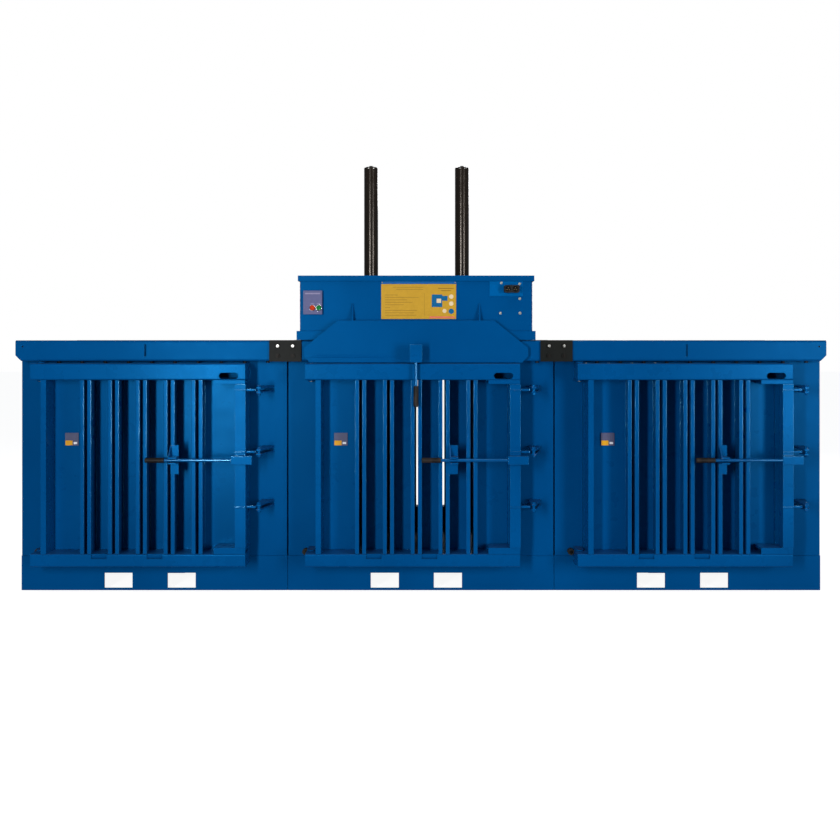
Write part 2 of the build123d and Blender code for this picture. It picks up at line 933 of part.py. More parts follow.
def head_lock_lever():
    """A stud through the apron, a block and a rod that hangs from it."""
    c = head_centre
    half = head_lock_block_width / 2
    rod_y = lever_y
    block_back = rod_y + head_lock_block_depth / 2
    block_front = rod_y - head_lock_block_depth / 2
    head = block(
        c - half, c + half, block_front, block_back,
        head_lock_z - head_lock_block_below, head_lock_z + head_lock_block_above,
    )
    stud = bar_y(
        c, head_lock_z, block_back, apron_front + apron_sheet - head_lock_gap,
        head_lock_stud_radius,
    )
    stud += bar_y(
        c, head_lock_z, block_back, apron_front - head_lock_gap, head_lock_boss_radius
    )
    rod_top = head_lock_z - head_lock_block_below
    rod_low = head_lock_z - head_lock_reach + grip_bite
    rod = post(c, rod_y, rod_low, rod_top, head_lock_rod_radius)
    return [head, stud, rod]


def head_lock_grip():
    """A moulded sleeve on the hanging lever's end."""
    low = head_lock_z - head_lock_reach
    high = low + head_lock_grip_length
    sleeve = post(head_centre, lever_y, low, high, head_lock_grip_radius)
    sleeve = fillet(sleeve.edges().filter_by(GeomType.CIRCLE), head_lock_grip_edge)
    rod = post(head_centre, lever_y, low + grip_bite, high + 1, head_lock_rod_radius)
    return [sleeve - rod]


def control_panel():
    """A shallow box with a bore for each push button."""
    face = head_front
    box = block(
        panel_left, panel_left + panel_width, face - panel_depth, face,
        panel_low, panel_low + panel_height,
    )
    for x in (stop_x, start_x):
        box -= bar_y(
            x, button_z, face - panel_depth - 1, face - sheet,
            button_radius + button_bore_gap,
        )
    return [box]


def button(x):
    """A push button that stands proud of the panel."""
    face = ahead(head_ahead + panel_depth)
    cap = bar_y(x, button_z, face - button_height, face + button_height, button_radius)
    front = cap.edges().filter_by(GeomType.CIRCLE).sort_by(Axis.Y)[0]
    return [fillet(front, button_edge)]


def service_plate():
    """A plate over the head's service opening."""
    face = head_front
    return [block(
        service_left, service_left + service_width, face - service_sheet, face,
        service_low, service_low + service_height,
    )]


def power_inlet():
    """A moulded pair of sockets on the service plate."""
    face = ahead(head_ahead + service_sheet)
    left = service_left + inlet_inset
    low = service_low + inlet_rise
    body = block(left, left + inlet_width, face - inlet_depth, face, low, low + inlet_height)
    body = fillet(body.edges().filter_by(Axis.Y), inlet_edge)
    centre = left + inlet_width / 2
    z = low + inlet_height / 2
    for x in (centre - inlet_socket_spacing / 2, centre + inlet_socket_spacing / 2):
        body -= bar_y(
            x, z, face - inlet_depth - 1, face - inlet_depth + inlet_socket_depth,
            inlet_socket_radius,
        )
    return [body]


def cylinder(side):
    """A tube with a closed top, a flange on the deck and a gland for the rod."""
    x = head_centre + side * cylinder_offset
    tube = post(x, 0, deck_top, barrel_top, barrel_radius)
    half = flange_size / 2
    tube += block(x - half, x + half, -half, half, deck_top, deck_top + flange_sheet)
    tube += post(x, 0, barrel_top, barrel_top + cap_height, cap_radius)
    tube -= post(x, 0, deck_top + gland_length, barrel_top - barrel_floor, barrel_bore)
    tube -= post(
        x, 0, deck_top - 1, deck_top + gland_length + 1, piston_rod_radius + running_clearance
    )
    return [tube]


def piston_rods():
    """A rod and piston for each cylinder."""
    parts = []
    top = barrel_top - barrel_floor - piston_headroom
    for side in (-1, 1):
        x = head_centre + side * cylinder_offset
        rod = post(x, 0, platen_top, top, piston_rod_radius)
        rod += post(x, 0, top - piston_length, top, barrel_bore - piston_gap)
        parts.append(rod)
    return parts


def platen():
    """A thick plate with stiffening ribs and a top plate that the rods stand on."""
    left = chamber_left + platen_side_gap
    right = chamber_right - platen_side_gap
    front = liner_front + platen_side_gap
    back = liner_back - platen_side_gap
    plate = block(left, right, front, back, platen_bottom, platen_bottom + platen_sheet)
    count = int((right - left) / platen_rib_pitch)
    start = chamber_centre - count / 2 * platen_rib_pitch
    rib_low = platen_bottom + platen_sheet
    rib_high = platen_top - platen_sheet
    for n in range(count + 1):
        x = start + n * platen_rib_pitch
        plate += block(
            x - platen_rib_sheet / 2, x + platen_rib_sheet / 2, front, back,
            rib_low, rib_high,
        )
    plate += block(
        start, start + count * platen_rib_pitch, -flange_size, flange_size,
        rib_high, platen_top,
    )
    return [plate]


def power_pack():
    """An oil tank between the cylinders with a motor on top."""
    half = tank_width / 2
    c = head_centre
    tank = block(
        c - half, c + half, -tank_depth / 2, tank_depth / 2, deck_top, deck_top + tank_height
    )
    motor_z = deck_top + tank_height + motor_radius
    motor = bar_y(c, motor_z, -motor_length / 2, motor_length / 2, motor_radius)
    return [tank, motor]


def save(name, solids):
    """One file for each named piece or group of like pieces."""
    shape = solids[0] if len(solids) == 1 else Compound(children=list(solids))
    export_step(shape, f"parts/{name}.step")


chamber_pieces = {
    "base": plinth(),
    "side_walls": side_walls(),
    "back_wall": back_wall(),
}
door_pieces = {
    "door_frame": door_frame(),
    "door_slats": door_slats(),
    "strap_guides": strap_guides(),
    "hinge_pins": hinge_pins(),
    "lock_bar": lock_bar(),
    "lock_grip": lock_grip(),
    "keepers": keepers(),
}
corner_frame = frame()
buffers = []
for place, name in ((-1, "left"), (0, "middle"), (1, "right")):
    door_shift = door_shifts[place + 1]
    shift = Pos(place * module_pitch, 0, 0)
    hung = Pos(place * module_pitch + door_shift, 0, 0)
    for piece, solids in chamber_pieces.items():
        save(f"{piece}_{name}", [shift * solid for solid in solids])
    for piece, solids in door_pieces.items():
        save(f"{piece}_{name}", [hung * solid for solid in solids])
    post_frame = corner_frame + hinge_lugs(hinge_x + door_shift)
    save(f"frame_{name}", [shift * solid for solid in post_frame])
    catch = lever_catch(catch_places[place + 1])
    save(f"lever_catch_{name}", [hung * solid for solid in catch])
    buffers += [hung * solid for solid in door_buffers()]

front_rail = rails()
plates, plate_bolts = joint_plates()
flange_bolts = rail_bolts()
half_turn = Rot(0, 0, 180)
save("door_buffers", buffers)
save("front_rail", front_rail)
save("rear_rail", [mirror(length, Plane.XZ) for length in front_rail])
save("joint_plates", plates + [half_turn * plate for plate in plates])
save("rail_bolts", flange_bolts + plate_bolts)

save("carriage", carriage())
save("wheelset_left", wheelset(-1))
save("wheelset_right", wheelset(1))
save("head_housing", head_housing())
save("head_lid", head_lid())
save("apron", apron())
save("head_lock_lever", head_lock_lever())
save("head_lock_grip", head_lock_grip())
save("control_panel", control_panel())
save("stop_button", button(stop_x))
save("start_button", button(start_x))
save("service_plate", service_plate())
save("power_inlet", power_inlet())
save("cylinder_left", cylinder(-1))
save("cylinder_right", cylinder(1))
save("piston_rods", piston_rods())
save("platen", platen())
save("power_pack", power_pack())
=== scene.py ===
import math

import bmesh
import bpy
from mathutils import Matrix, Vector


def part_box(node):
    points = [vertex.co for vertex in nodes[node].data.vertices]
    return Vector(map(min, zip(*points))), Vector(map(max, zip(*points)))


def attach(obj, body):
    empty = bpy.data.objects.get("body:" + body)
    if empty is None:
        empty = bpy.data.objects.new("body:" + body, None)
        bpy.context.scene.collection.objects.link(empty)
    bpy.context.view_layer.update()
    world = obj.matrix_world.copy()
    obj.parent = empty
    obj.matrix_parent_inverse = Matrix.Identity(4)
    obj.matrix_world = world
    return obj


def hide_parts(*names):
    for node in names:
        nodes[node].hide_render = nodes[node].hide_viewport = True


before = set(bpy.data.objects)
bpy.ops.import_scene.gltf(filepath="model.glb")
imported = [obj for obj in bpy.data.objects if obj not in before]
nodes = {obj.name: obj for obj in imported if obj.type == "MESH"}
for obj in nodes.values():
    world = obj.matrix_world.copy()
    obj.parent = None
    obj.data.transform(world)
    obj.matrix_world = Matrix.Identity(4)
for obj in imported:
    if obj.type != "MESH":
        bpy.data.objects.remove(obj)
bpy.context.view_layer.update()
sides = ("left", "middle", "right")

# The viewpoint: a level camera in front of the middle chamber, at the height of the rails.
# The chambers' front face is 6 m away, and a pixel there is 5.7 mm, so 840 pixels are 4.788 m.
eye_height = 1.43
eye_distance = 6.0
chamber_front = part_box("base_middle")[0][1]
view_width = 4.788
horizon_above_centre = 80.7 / 840
axis_right_of_centre = 0.9 / 840
camera_data = bpy.data.cameras.new("camera")
camera_data.sensor_width = 36.0
camera_data.lens = camera_data.sensor_width * eye_distance / view_width
camera_data.shift_x = -axis_right_of_centre
camera_data.shift_y = -horizon_above_centre
camera_data.clip_end = 200.0
camera = bpy.data.objects.new("camera", camera_data)
camera.location = (0.0, chamber_front - eye_distance, eye_height)
camera.rotation_euler = (math.radians(90), 0.0, 0.0)
bpy.context.scene.collection.objects.link(camera)
bpy.context.scene.camera = camera
bpy.context.scene.view_settings.view_transform = "Standard"


# The studio: a pale floor, white air behind it, two tall softboxes in front with a low one under
# each, and weak ones overhead and behind. The left-hand box is stronger for its width, so each
# rib shades the left part of its recess.
def softbox(name, place, target, width, height, watts):
    """A rectangular lamp at a place, turned to a target."""
    data = bpy.data.lights.new(name, "AREA")
    data.shape = "RECTANGLE"
    data.size = width
    data.size_y = height
    data.energy = watts
    lamp = bpy.data.objects.new(name, data)
    lamp.location = place
    aim = Vector(target) - Vector(place)
    lamp.rotation_euler = aim.to_track_quat("-Z", "Y").to_euler()
    bpy.context.scene.collection.objects.link(lamp)


softbox("key_left", (-2.3, -6.8, 1.7), (0.0, 0.0, 1.1), 0.5, 2.6, 240)
softbox("fill_right", (4.6, -6.4, 1.7), (0.4, 0.0, 1.0), 1.6, 2.6, 210)
softbox("low_left", (-2.3, -6.8, 0.32), (0.0, 0.0, 0.9), 0.5, 0.5, 24)
softbox("low_right", (4.6, -6.4, 0.32), (0.4, 0.0, 0.9), 0.5, 0.5, 24)
softbox("overhead", (0.0, -1.8, 5.6), (0.0, 0.0, 1.0), 5.0, 2.0, 60)
softbox("rear", (1.5, 6.0, 4.0), (0.0, 0.0, 1.0), 3.0, 2.0, 150)


def feed(node, given):
    """Sets a node's inputs: a socket is linked, and anything else is a plain value."""
    for key, value in given.items():
        if isinstance(value, bpy.types.NodeSocket):
            node.id_data.links.new(value, node.inputs[key])
        else:
            node.inputs[key].default_value = value


def add_node(tree, kind, given, **settings):
    """A node in a tree, with its settings made before its inputs are set."""
    node = tree.nodes.new(kind)
    for key, value in settings.items():
        setattr(node, key, value)
    feed(node, given)
    return node


def camera_only(tree, unseen, seen):
    """A mix of two shaders in which the second shows only in what the camera sees itself."""
    path = add_node(tree, "ShaderNodeLightPath", {})
    given = {"Fac": path.outputs["Is Camera Ray"], 1: unseen.outputs[0], 2: seen.outputs[0]}
    return add_node(tree, "ShaderNodeMixShader", given).outputs["Shader"]


world = bpy.data.worlds.new("studio_air")
bpy.context.scene.world = world
world.use_nodes = True
air = world.node_tree
air.nodes.clear()
air_colour = (0.80, 0.90, 1.0, 1.0)
white = (1.0, 1.0, 1.0, 1.0)
air_dim = add_node(air, "ShaderNodeBackground", {"Color": air_colour, "Strength": 0.14})
air_white = add_node(air, "ShaderNodeBackground", {"Color": white, "Strength": 1.0})
add_node(air, "ShaderNodeOutputWorld", {"Surface": camera_only(air, air_dim, air_white)})

floor_half = 40.0
floor_drop = 0.001
floor_corners = [
    (x * floor_half, y * floor_half, -floor_drop) for x, y in ((-1, -1), (1, -1), (1, 1), (-1, 1))
]
floor_mesh = bpy.data.meshes.new("floor")
floor_mesh.from_pydata(floor_corners, [], [(0, 1, 2, 3)])
floor = bpy.data.objects.new("floor", floor_mesh)
bpy.context.scene.collection.objects.link(floor)
floor_paint = bpy.data.materials.new("studio_floor")
floor_paint.use_nodes = True
ground = floor_paint.node_tree
ground.nodes.clear()
ground_matt = add_node(ground, "ShaderNodeBsdfDiffuse", {"Color": (0.40, 0.40, 0.41, 1.0)})
ground_glow = add_node(ground, "ShaderNodeEmission", {"Color": white, "Strength": 0.92})
ground_none = add_node(ground, "ShaderNodeEmission", {"Strength": 0.0})
ground_sum = add_node(ground, "ShaderNodeAddShader", {
    0: ground_matt.outputs["BSDF"], 1: camera_only(ground, ground_none, ground_glow),
})
add_node(ground, "ShaderNodeOutputMaterial", {"Surface": ground_sum.outputs["Shader"]})
floor_mesh.materials.append(floor_paint)


# The plinths that the chambers stand on: skirts and decks of folded plate, welded, and painted
# with the chambers in one gloss blue. Forks scrape the rims of the pockets, down to the primer.
def opaque(colour):
    """A colour with full alpha."""
    return tuple(colour) + (1.0,)


def noise(tree, place, scale, detail, roughness=0.5):
    """The grey of a noise texture at a place."""
    return add_node(tree, "ShaderNodeTexNoise", {
        "Vector": place, "Scale": scale, "Detail": detail, "Roughness": roughness,
    }).outputs["Fac"]


def ranged(tree, value, from_range=(0.0, 1.0), to_range=(0.0, 1.0)):
    """A value moved from one range into another, and held inside it."""
    return add_node(tree, "ShaderNodeMapRange", {
        "Value": value, "From Min": from_range[0], "From Max": from_range[1],
        "To Min": to_range[0], "To Max": to_range[1],
    }).outputs["Result"]


def maths(tree, operation, *values):
    """The result of one operation on two or three values."""
    given = dict(enumerate(values))
    return add_node(tree, "ShaderNodeMath", given, operation=operation).outputs["Value"]


def mixed(tree, share, first, second, kind="RGBA"):
    """A colour or number between two others."""
    given = {"Factor": share, "A": first, "B": second}
    return add_node(tree, "ShaderNodeMix", given, data_type=kind).outputs["Result"]


def aligned(tree, first, second):
    """How well two directions agree: 1 where they are the same."""
    given = {0: first, 1: second}
    return add_node(
        tree, "ShaderNodeVectorMath", given, operation="DOT_PRODUCT",
    ).outputs["Value"]


def bumped(tree, height, strength, depth):
    """A bump node with its height fed."""
    return add_node(tree, "ShaderNodeBump", {
        "Height": height, "Strength": strength, "Distance": depth,
    })


def new_tree(name, kind, takes, gives):
    """A node group with these inputs and outputs, and the identifier of each input."""
    group = bpy.data.node_groups.new(name, kind)
    for in_out, sorts in (("INPUT", takes), ("OUTPUT", gives)):
        for title, sort in sorts.items():
            group.interface.new_socket(title, in_out=in_out, socket_type="NodeSocket" + sort)
    listed = group.interface.items_tree
    sockets = {item.name: item.identifier for item in listed if item.in_out == "INPUT"}
    take = group.nodes.new("NodeGroupInput").outputs
    give = group.nodes.new("NodeGroupOutput")
    return group, sockets, take, give


def sprayed_film():
    """A node group: the coat's tone, roughness and height over a surface."""
    takes = {
        "Vector": "Vector", "Colour": "Color", "Deep Colour": "Color", "Peel Size": "Float",
        "Roughness": "Float", "Dust And Top Light": "Float",
    }
    gives = {"Colour": "Color", "Roughness": "Float", "Height": "Float"}
    tree, _, take, give = new_tree("sprayed_film", "ShaderNodeTree", takes, gives)
    place = take["Vector"]
    broad = ranged(tree, noise(tree, place, 1.7, 3.0), (0.35, 0.65))
    tone = mixed(tree, broad, take["Deep Colour"], take["Colour"])

    # Where a face lies flat, a noise share of it turns a paler blue and rougher. This is partly
    # dust and partly painted light falling from above on upward faces.
    surface = add_node(tree, "ShaderNodeNewGeometry", {})
    upright = add_node(tree, "ShaderNodeSeparateXYZ", {"Vector": surface.outputs["Normal"]})
    lies_flat = ranged(tree, upright.outputs["Z"], (0.6, 1.0))
    dust_and_top_light_on = maths(tree, "MULTIPLY", lies_flat, noise(tree, place, 9.0, 6.0))
    dust_and_top_light = maths(tree, "MULTIPLY", dust_and_top_light_on, take["Dust And Top Light"])
    dust_and_top_light_colour = (0.09, 0.15, 0.24, 1.0)

    swing = ranged(tree, noise(tree, place, 14.0, 4.0), to_range=(-0.05, 0.07))
    rough = maths(tree, "ADD", take["Roughness"], swing)
    peel = noise(tree, place, take["Peel Size"], 2.0)
    wave = noise(tree, place, 3.2, 1.0)
    wave_share = 6.0
    feed(give, {
        "Colour": mixed(tree, dust_and_top_light, tone, dust_and_top_light_colour),
        "Roughness": maths(tree, "ADD", rough, dust_and_top_light),
        "Height": maths(tree, "MULTIPLY_ADD", wave, wave_share, peel),
    })
    return tree


def chipped_edge():
    """A node group: a mask of the chips along a plate's edges."""
    takes = {"Vector": "Vector", "Width": "Float", "Amount": "Float"}
    tree, _, take, give = new_tree("chipped_edge", "ShaderNodeTree", takes, {"Mask": "Float"})
    rounded = add_node(tree, "ShaderNodeBevel", {"Radius": take["Width"]}, samples=4)
    flat = add_node(tree, "ShaderNodeNewGeometry", {})
    agree = aligned(tree, rounded.outputs["Normal"], flat.outputs["Normal"])
    turn = ranged(tree, agree, (0.985, 0.80))
    grit = noise(tree, take["Vector"], 38.0, 8.0, 0.7)
    gone = maths(tree, "MULTIPLY_ADD", turn, take["Amount"], grit)
    feed(give, {"Mask": ranged(tree, gone, (0.94, 1.0))})
    return tree


film = sprayed_film()
chips = chipped_edge()
blue = (0.0, 0.064, 0.222)
deep_blue = (0.0, 0.054, 0.190)


def fresh(name):
    """A new material with its tree, its shader and the object's own coordinates."""
    material = bpy.data.materials.new(name)
    material.use_nodes = True
    tree = material.node_tree
    place = add_node(tree, "ShaderNodeTexCoord", {}).outputs["Object"]
    return material, tree, tree.nodes["Principled BSDF"], place


def painted(
    name, roughness, dust_and_top_light, edge, colour=blue, deep=deep_blue, chip=0.0,
    beneath=(0.20, 0.20, 0.21), peel_size=240.0, peel_depth=0.00022, gloss=0.2,
    sheen=(0.02, 0.4, 1.0), rubbed=False,
):
    """A sprayed paint with rounded edges, chipped down to what is beneath it.

    Where it is rubbed, its folds are polished: the bevelled normal leaves the face's own there.
    """
    material, tree, shader, place = fresh(name)
    coat = add_node(tree, "ShaderNodeGroup", {
        "Vector": place, "Colour": opaque(colour), "Deep Colour": opaque(deep),
        "Peel Size": peel_size, "Roughness": roughness, "Dust And Top Light": dust_and_top_light,
    }, node_tree=film).outputs
    colour_out = coat["Colour"]
    if chip:
        mask = add_node(tree, "ShaderNodeGroup", {
            "Vector": place, "Width": edge * 1.2, "Amount": chip,
        }, node_tree=chips).outputs["Mask"]
        colour_out = mixed(tree, mask, colour_out, opaque(beneath))
        bare_shine = 0.7
        feed(shader, {"Metallic": maths(tree, "MULTIPLY", mask, bare_shine)})
    bump = bumped(tree, coat["Height"], 0.35, peel_depth)
    if edge:
        soft = add_node(tree, "ShaderNodeBevel", {"Radius": edge}, samples=4).outputs["Normal"]
        feed(bump, {"Normal": soft})
    feed(shader, {
        "Base Color": colour_out, "Roughness": coat["Roughness"],
        "Normal": bump.outputs["Normal"], "IOR": 1.5, "Specular IOR Level": gloss,
        "Specular Tint": opaque(sheen),
    })
    if rubbed:
        face = add_node(tree, "ShaderNodeNewGeometry", {})
        fold = ranged(tree, aligned(tree, face.outputs["True Normal"], soft), (0.9999, 0.9990))
        polish = 1.0
        polished_roughness = 0.14
        polished_sheen = (0.25, 0.7, 1.0, 1.0)
        feed(shader, {
            "Specular IOR Level": mixed(tree, fold, gloss, polish, "FLOAT"),
            "Roughness": mixed(tree, fold, coat["Roughness"], polished_roughness, "FLOAT"),
            "Specular Tint": mixed(tree, fold, opaque(sheen), polished_sheen),
        })
    return material


def finish_node(node, material):
    """Gives a carried-over piece its finish."""
    mesh = nodes[node].data
    mesh.materials.clear()
    mesh.materials.append(material)


def finish_nodes(kind, material):
    """Gives all three chambers' pieces of this kind one finish."""
    for side in sides:
        finish_node(f"{kind}_{side}", material)


finish_nodes("base", painted("plinth_blue", roughness=0.36, dust_and_top_light=0.3, edge=0.004, chip=0.18))


# The chambers' frames: corner posts, lintels, jambs and caps of folded plate, the hinge lugs
# welded to the posts, and between the posts plain side skins and liners, all in the same blue.
def linked(name, mesh):
    """An object of this mesh, at the origin."""
    piece = bpy.data.objects.new(name, mesh)
    bpy.context.scene.collection.objects.link(piece)
    return piece


def settle(piece, body, slot, *materials):
    """Gives an added piece its finishes and its body; the slot is not used."""
    for material in materials:
        piece.data.materials.append(material)
    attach(piece, body)


def shaped(name, shape):
    """An object from a finished bmesh."""
    mesh = bpy.data.meshes.new(name)
    shape.to_mesh(mesh)
    shape.free()
    return linked(name, mesh)


def spaced(tree, take):
    """Points at the carrier's pitch along each of its edges."""
    seam = add_node(tree, "GeometryNodeMeshToCurve", {"Mesh": take["Geometry"]})
    return add_node(tree, "GeometryNodeResampleCurve", {
        "Curve": seam.outputs["Curve"], "Length": take["Pitch"],
    }, mode="LENGTH").outputs["Curve"]


def copied(tree, points, shape, **given):
    """Copies of a shape at these points, turned or scaled by what is given."""
    return add_node(tree, "GeometryNodeInstanceOnPoints", {
        "Points": points, "Instance": shape, **given,
    }).outputs["Instances"]


def ended(tree, give, copies, smooth):
    """Gives a tree's copies out as plain mesh, smooth or flat."""
    real = add_node(tree, "GeometryNodeRealizeInstances", {"Geometry": copies})
    if smooth:
        real = add_node(tree, "GeometryNodeSetShadeSmooth", {"Geometry": real.outputs[0]})
    feed(give, {"Geometry": real.outputs[0]})


def bead_tree():
    """Geometry nodes: overlapping drops along each edge of the carrier, as a weld leaves them."""
    takes = {"Geometry": "Geometry", "Pitch": "Float", "Radius": "Float"}
    tree, sockets, take, give = new_tree(
        "weld_bead", "GeometryNodeTree", takes, {"Geometry": "Geometry"},
    )
    drop = add_node(tree, "GeometryNodeMeshUVSphere", {
        "Segments": 8, "Rings": 5, "Radius": take["Radius"],
    })
    size_range = {"Min": 0.82, "Max": 1.12, "Seed": 7}
    uneven = add_node(tree, "FunctionNodeRandomValue", size_range, data_type="FLOAT")
    copies = copied(tree, spaced(tree, take), drop.outputs["Mesh"], Scale=uneven.outputs["Value"])
    ended(tree, give, copies, smooth=True)
    return tree, sockets


def grown(name, points, edges, tree, values):
    """A piece of plain mesh that a tree makes on a carrier of bare points and edges.

    The tree's mesh comes with an empty material slot, which is cleared.
    """
    path = bpy.data.meshes.new(name + "_carrier")
    path.from_pydata(points, edges, [])
    carrier = linked(name + "_carrier", path)
    group, sockets = tree
    modifier = carrier.modifiers.new("grown", "NODES")
    modifier.node_group = group
    for key, value in values.items():
        modifier[sockets[key]] = value
    view = bpy.context.evaluated_depsgraph_get()
    mesh = bpy.data.meshes.new_from_object(carrier.evaluated_get(view))
    mesh.name = name
    mesh.materials.clear()
    bpy.data.objects.remove(carrier)
    return linked(name, mesh)


weld = bead_tree()


def welded(name, runs, body, radius=0.003, pitch=0.0055):
    """A row of weld beads along each run, from one corner of a joint to the other."""
    points = [corner for run in runs for corner in run]
    edges = [(n, n + 1) for n in range(0, len(points), 2)]
    piece = grown(name, points, edges, weld, {"Pitch": pitch, "Radius": radius})
    settle(piece, body, "blue_paint", weld_paint)


frame_paint = painted("frame_blue", roughness=0.34, dust_and_top_light=0.3, edge=0.004)
weld_paint = painted("weld_blue", roughness=0.30, dust_and_top_light=0.0, edge=0.0008, peel_size=500.0)
finish_nodes("frame", frame_paint)
finish_nodes("side_walls", frame_paint)


def middle_of(node):
    """The middle of a carried-over piece."""
    low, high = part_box(node)
    return [(low[n] + high[n]) / 2 for n in range(3)]


lug_half = 0.023
lug_sheet = 0.008
deck_left_gap = 0.0105
deck_right_gap = 0.0155
for side in sides:
    hinge_x = middle_of(f"hinge_pins_{side}")[0]
    door_low, door_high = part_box(f"door_frame_{side}")
    lug_runs = []
    for z in (door_low[2] - lug_sheet, door_high[2] + lug_sheet):
        left = (hinge_x - lug_half, chamber_front)
        right = (hinge_x + lug_half, chamber_front)
        for foot in (left, right):
            lug_runs.append((foot + (z - lug_sheet / 2,), foot + (z + lug_sheet / 2,)))
        lug_runs.append((left + (z,), right + (z,)))
    low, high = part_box(f"base_{side}")
    deck_left = low[0] + deck_left_gap
    deck_right = high[0] - deck_right_gap
    for y in (chamber_front, -chamber_front):
        lug_runs.append(((deck_left, y, high[2]), (deck_right, y, high[2])))
    welded(f"frame_welds_{side}", lug_runs, "root", radius=0.0028)


# The back walls: folded slats welded between lintel and sill, with the strap slots between them.
# Their smooth side is to the chamber, where sliding bales keep it polished.
finish_nodes("back_wall", painted(
    "back_wall_blue", roughness=0.38, dust_and_top_light=0.25, edge=0.003, chip=0.14,
))
wall_margin = 0.01
wall_sill_height = 0.137
for side in sides:
    low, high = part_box(f"back_wall_{side}")
    wall_left = low[0] + wall_margin
    wall_right = high[0] - wall_margin
    levels = (low[2] + wall_sill_height, high[2])
    wall_runs = [((wall_left, high[1], z), (wall_right, high[1], z)) for z in levels]
    welded(f"back_wall_welds_{side}", wall_runs, "root", pitch=0.006)


# The doors: channel rails with hinge arms, stiles and a corner plate, and folded slats welded in
# between the rails, all sprayed in one go. The slats' folds are rubbed and catch the light.
# The doors' blue is a little lighter than the chambers' blue. This is painted light for the doors'
# brighter-lit faces.
lit_door_blue = (0.0, 0.066, 0.230)
door_gloss = 0.34
finish_nodes("door_frame", painted(
    "lit_door_blue", roughness=0.27, dust_and_top_light=0.2, edge=0.003, colour=lit_door_blue, chip=0.05,
    gloss=door_gloss,
))
finish_nodes("door_slats", painted(
    "slat_blue", roughness=0.28, dust_and_top_light=0.2, edge=0.007, colour=lit_door_blue, gloss=door_gloss,
    rubbed=True,
))
slat_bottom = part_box("door_slats_middle")[0][2]
slat_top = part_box("door_slats_middle")[1][2]
slat_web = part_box("door_slats_middle")[1][1] - 0.006
slot_pitch = 0.1537
slot_half = 0.009
slot_count = 5
first_slot = 0.219
slat_margin = 0.008
for side in sides:
    low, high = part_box(f"door_slats_{side}")
    edges = [low[0]]
    for n in range(slot_count):
        x = low[0] + first_slot + n * slot_pitch
        edges += [x - slot_half, x + slot_half]
    edges.append(high[0])
    door_runs = []
    for left, right in zip(edges[::2], edges[1::2]):
        for z in (slat_bottom, slat_top):
            door_runs.append((
                (left + slat_margin, slat_web, z), (right - slat_margin, slat_web, z),
            ))
    welded(f"door_welds_{side}", door_runs, f"door_{side}")


# The strap guides: short curved tongues of thin plate, let into the bottom rail under two slats.
# A strap's tail runs over them, so the paint on the curve is rubbed through to bare steel.
finish_nodes("strap_guides", painted(
    "guide_blue", roughness=0.28, dust_and_top_light=0.2, edge=0.0015, chip=0.38, beneath=(0.3, 0.32, 0.36),
))


# The hinge pins: turned steel bar, dropped through the lugs from above and held by a thin head.
# Turning leaves fine rings, and grease and dust dull the ends.
def bare_metal(name, colour, roughness, grain_size, grain_depth):
    """A metal with a fine grain in its tone, its gloss and its height."""
    material, tree, shader, place = fresh(name)
    grain = noise(tree, place, grain_size, 5.0)
    shade = 0.72
    duller = tuple(part * shade for part in colour)
    feed(shader, {
        "Roughness": ranged(tree, grain, to_range=(roughness * 0.7, roughness * 1.4)),
        "Base Color": mixed(tree, grain, opaque(duller), opaque(colour)),
        "Normal": bumped(tree, grain, 0.4, grain_depth).outputs["Normal"],
        "Metallic": 1.0,
    })
    return material


finish_nodes("hinge_pins", bare_metal(
    "pin_steel", (0.20, 0.20, 0.21), roughness=0.45, grain_size=180.0, grain_depth=0.0002,
))


# The door plates: small enamelled plates on spacers on each door's first slat, with one plain
# amber field and one white one on grey.
def flat_finish(name, colour, roughness, gloss=0.4):
    """A printed or enamelled colour with a faint mottle and fine scratches in its gloss."""
    material, tree, shader, place = fresh(name)
    mottle = noise(tree, place, 60.0, 5.0)
    duller = tuple(part * 0.86 for part in colour)
    lighter = tuple(min(1.0, part * 1.08) for part in colour)
    scratch_stretch = (6.0, 6.0, 160.0)
    stretch = add_node(tree, "ShaderNodeMapping", {"Vector": place, "Scale": scratch_stretch})
    scratch = noise(tree, stretch.outputs["Vector"], 3.0, 6.0)
    rough_range = (roughness * 0.75, min(1.0, roughness * 1.25))
    feed(shader, {
        "Base Color": mixed(tree, mottle, opaque(duller), opaque(lighter)),
        "Roughness": ranged(tree, scratch, to_range=rough_range),
        "Specular IOR Level": gloss,
    })
    return material


def add_slab(shape, low, high, bevel=0.0, paint=0):
    """A box in a bmesh, bevelled if asked, in the material of this index."""
    made = bmesh.ops.create_cube(shape, size=1.0)["verts"]
    for corner in made:
        for axis in range(3):
            middle = (low[axis] + high[axis]) / 2
            corner.co[axis] = middle + corner.co[axis] * (high[axis] - low[axis])
    skin = {face for corner in made for face in corner.link_faces}
    if bevel:
        lines = list({line for corner in made for line in corner.link_edges})
        more = bmesh.ops.bevel(shape, geom=lines, offset=bevel, segments=2, affect="EDGES")
        skin = {face for corner in more["verts"] for face in corner.link_faces}
    for face in skin:
        face.material_index = paint


def add_round(shape, centre, radius, y_front, y_back, paint=0, segments=16):
    """A disc or short bar along Y in a bmesh."""
    made = bmesh.ops.create_cone(
        shape, cap_ends=True, segments=segments, radius1=radius, radius2=radius,
        depth=abs(y_back - y_front),
    )["verts"]
    for corner in made:
        x, y, z = corner.co
        corner.co = (centre[0] + x, (y_front + y_back) / 2 - z, centre[1] + y)
    for face in {face for corner in made for face in corner.link_faces}:
        face.material_index = paint


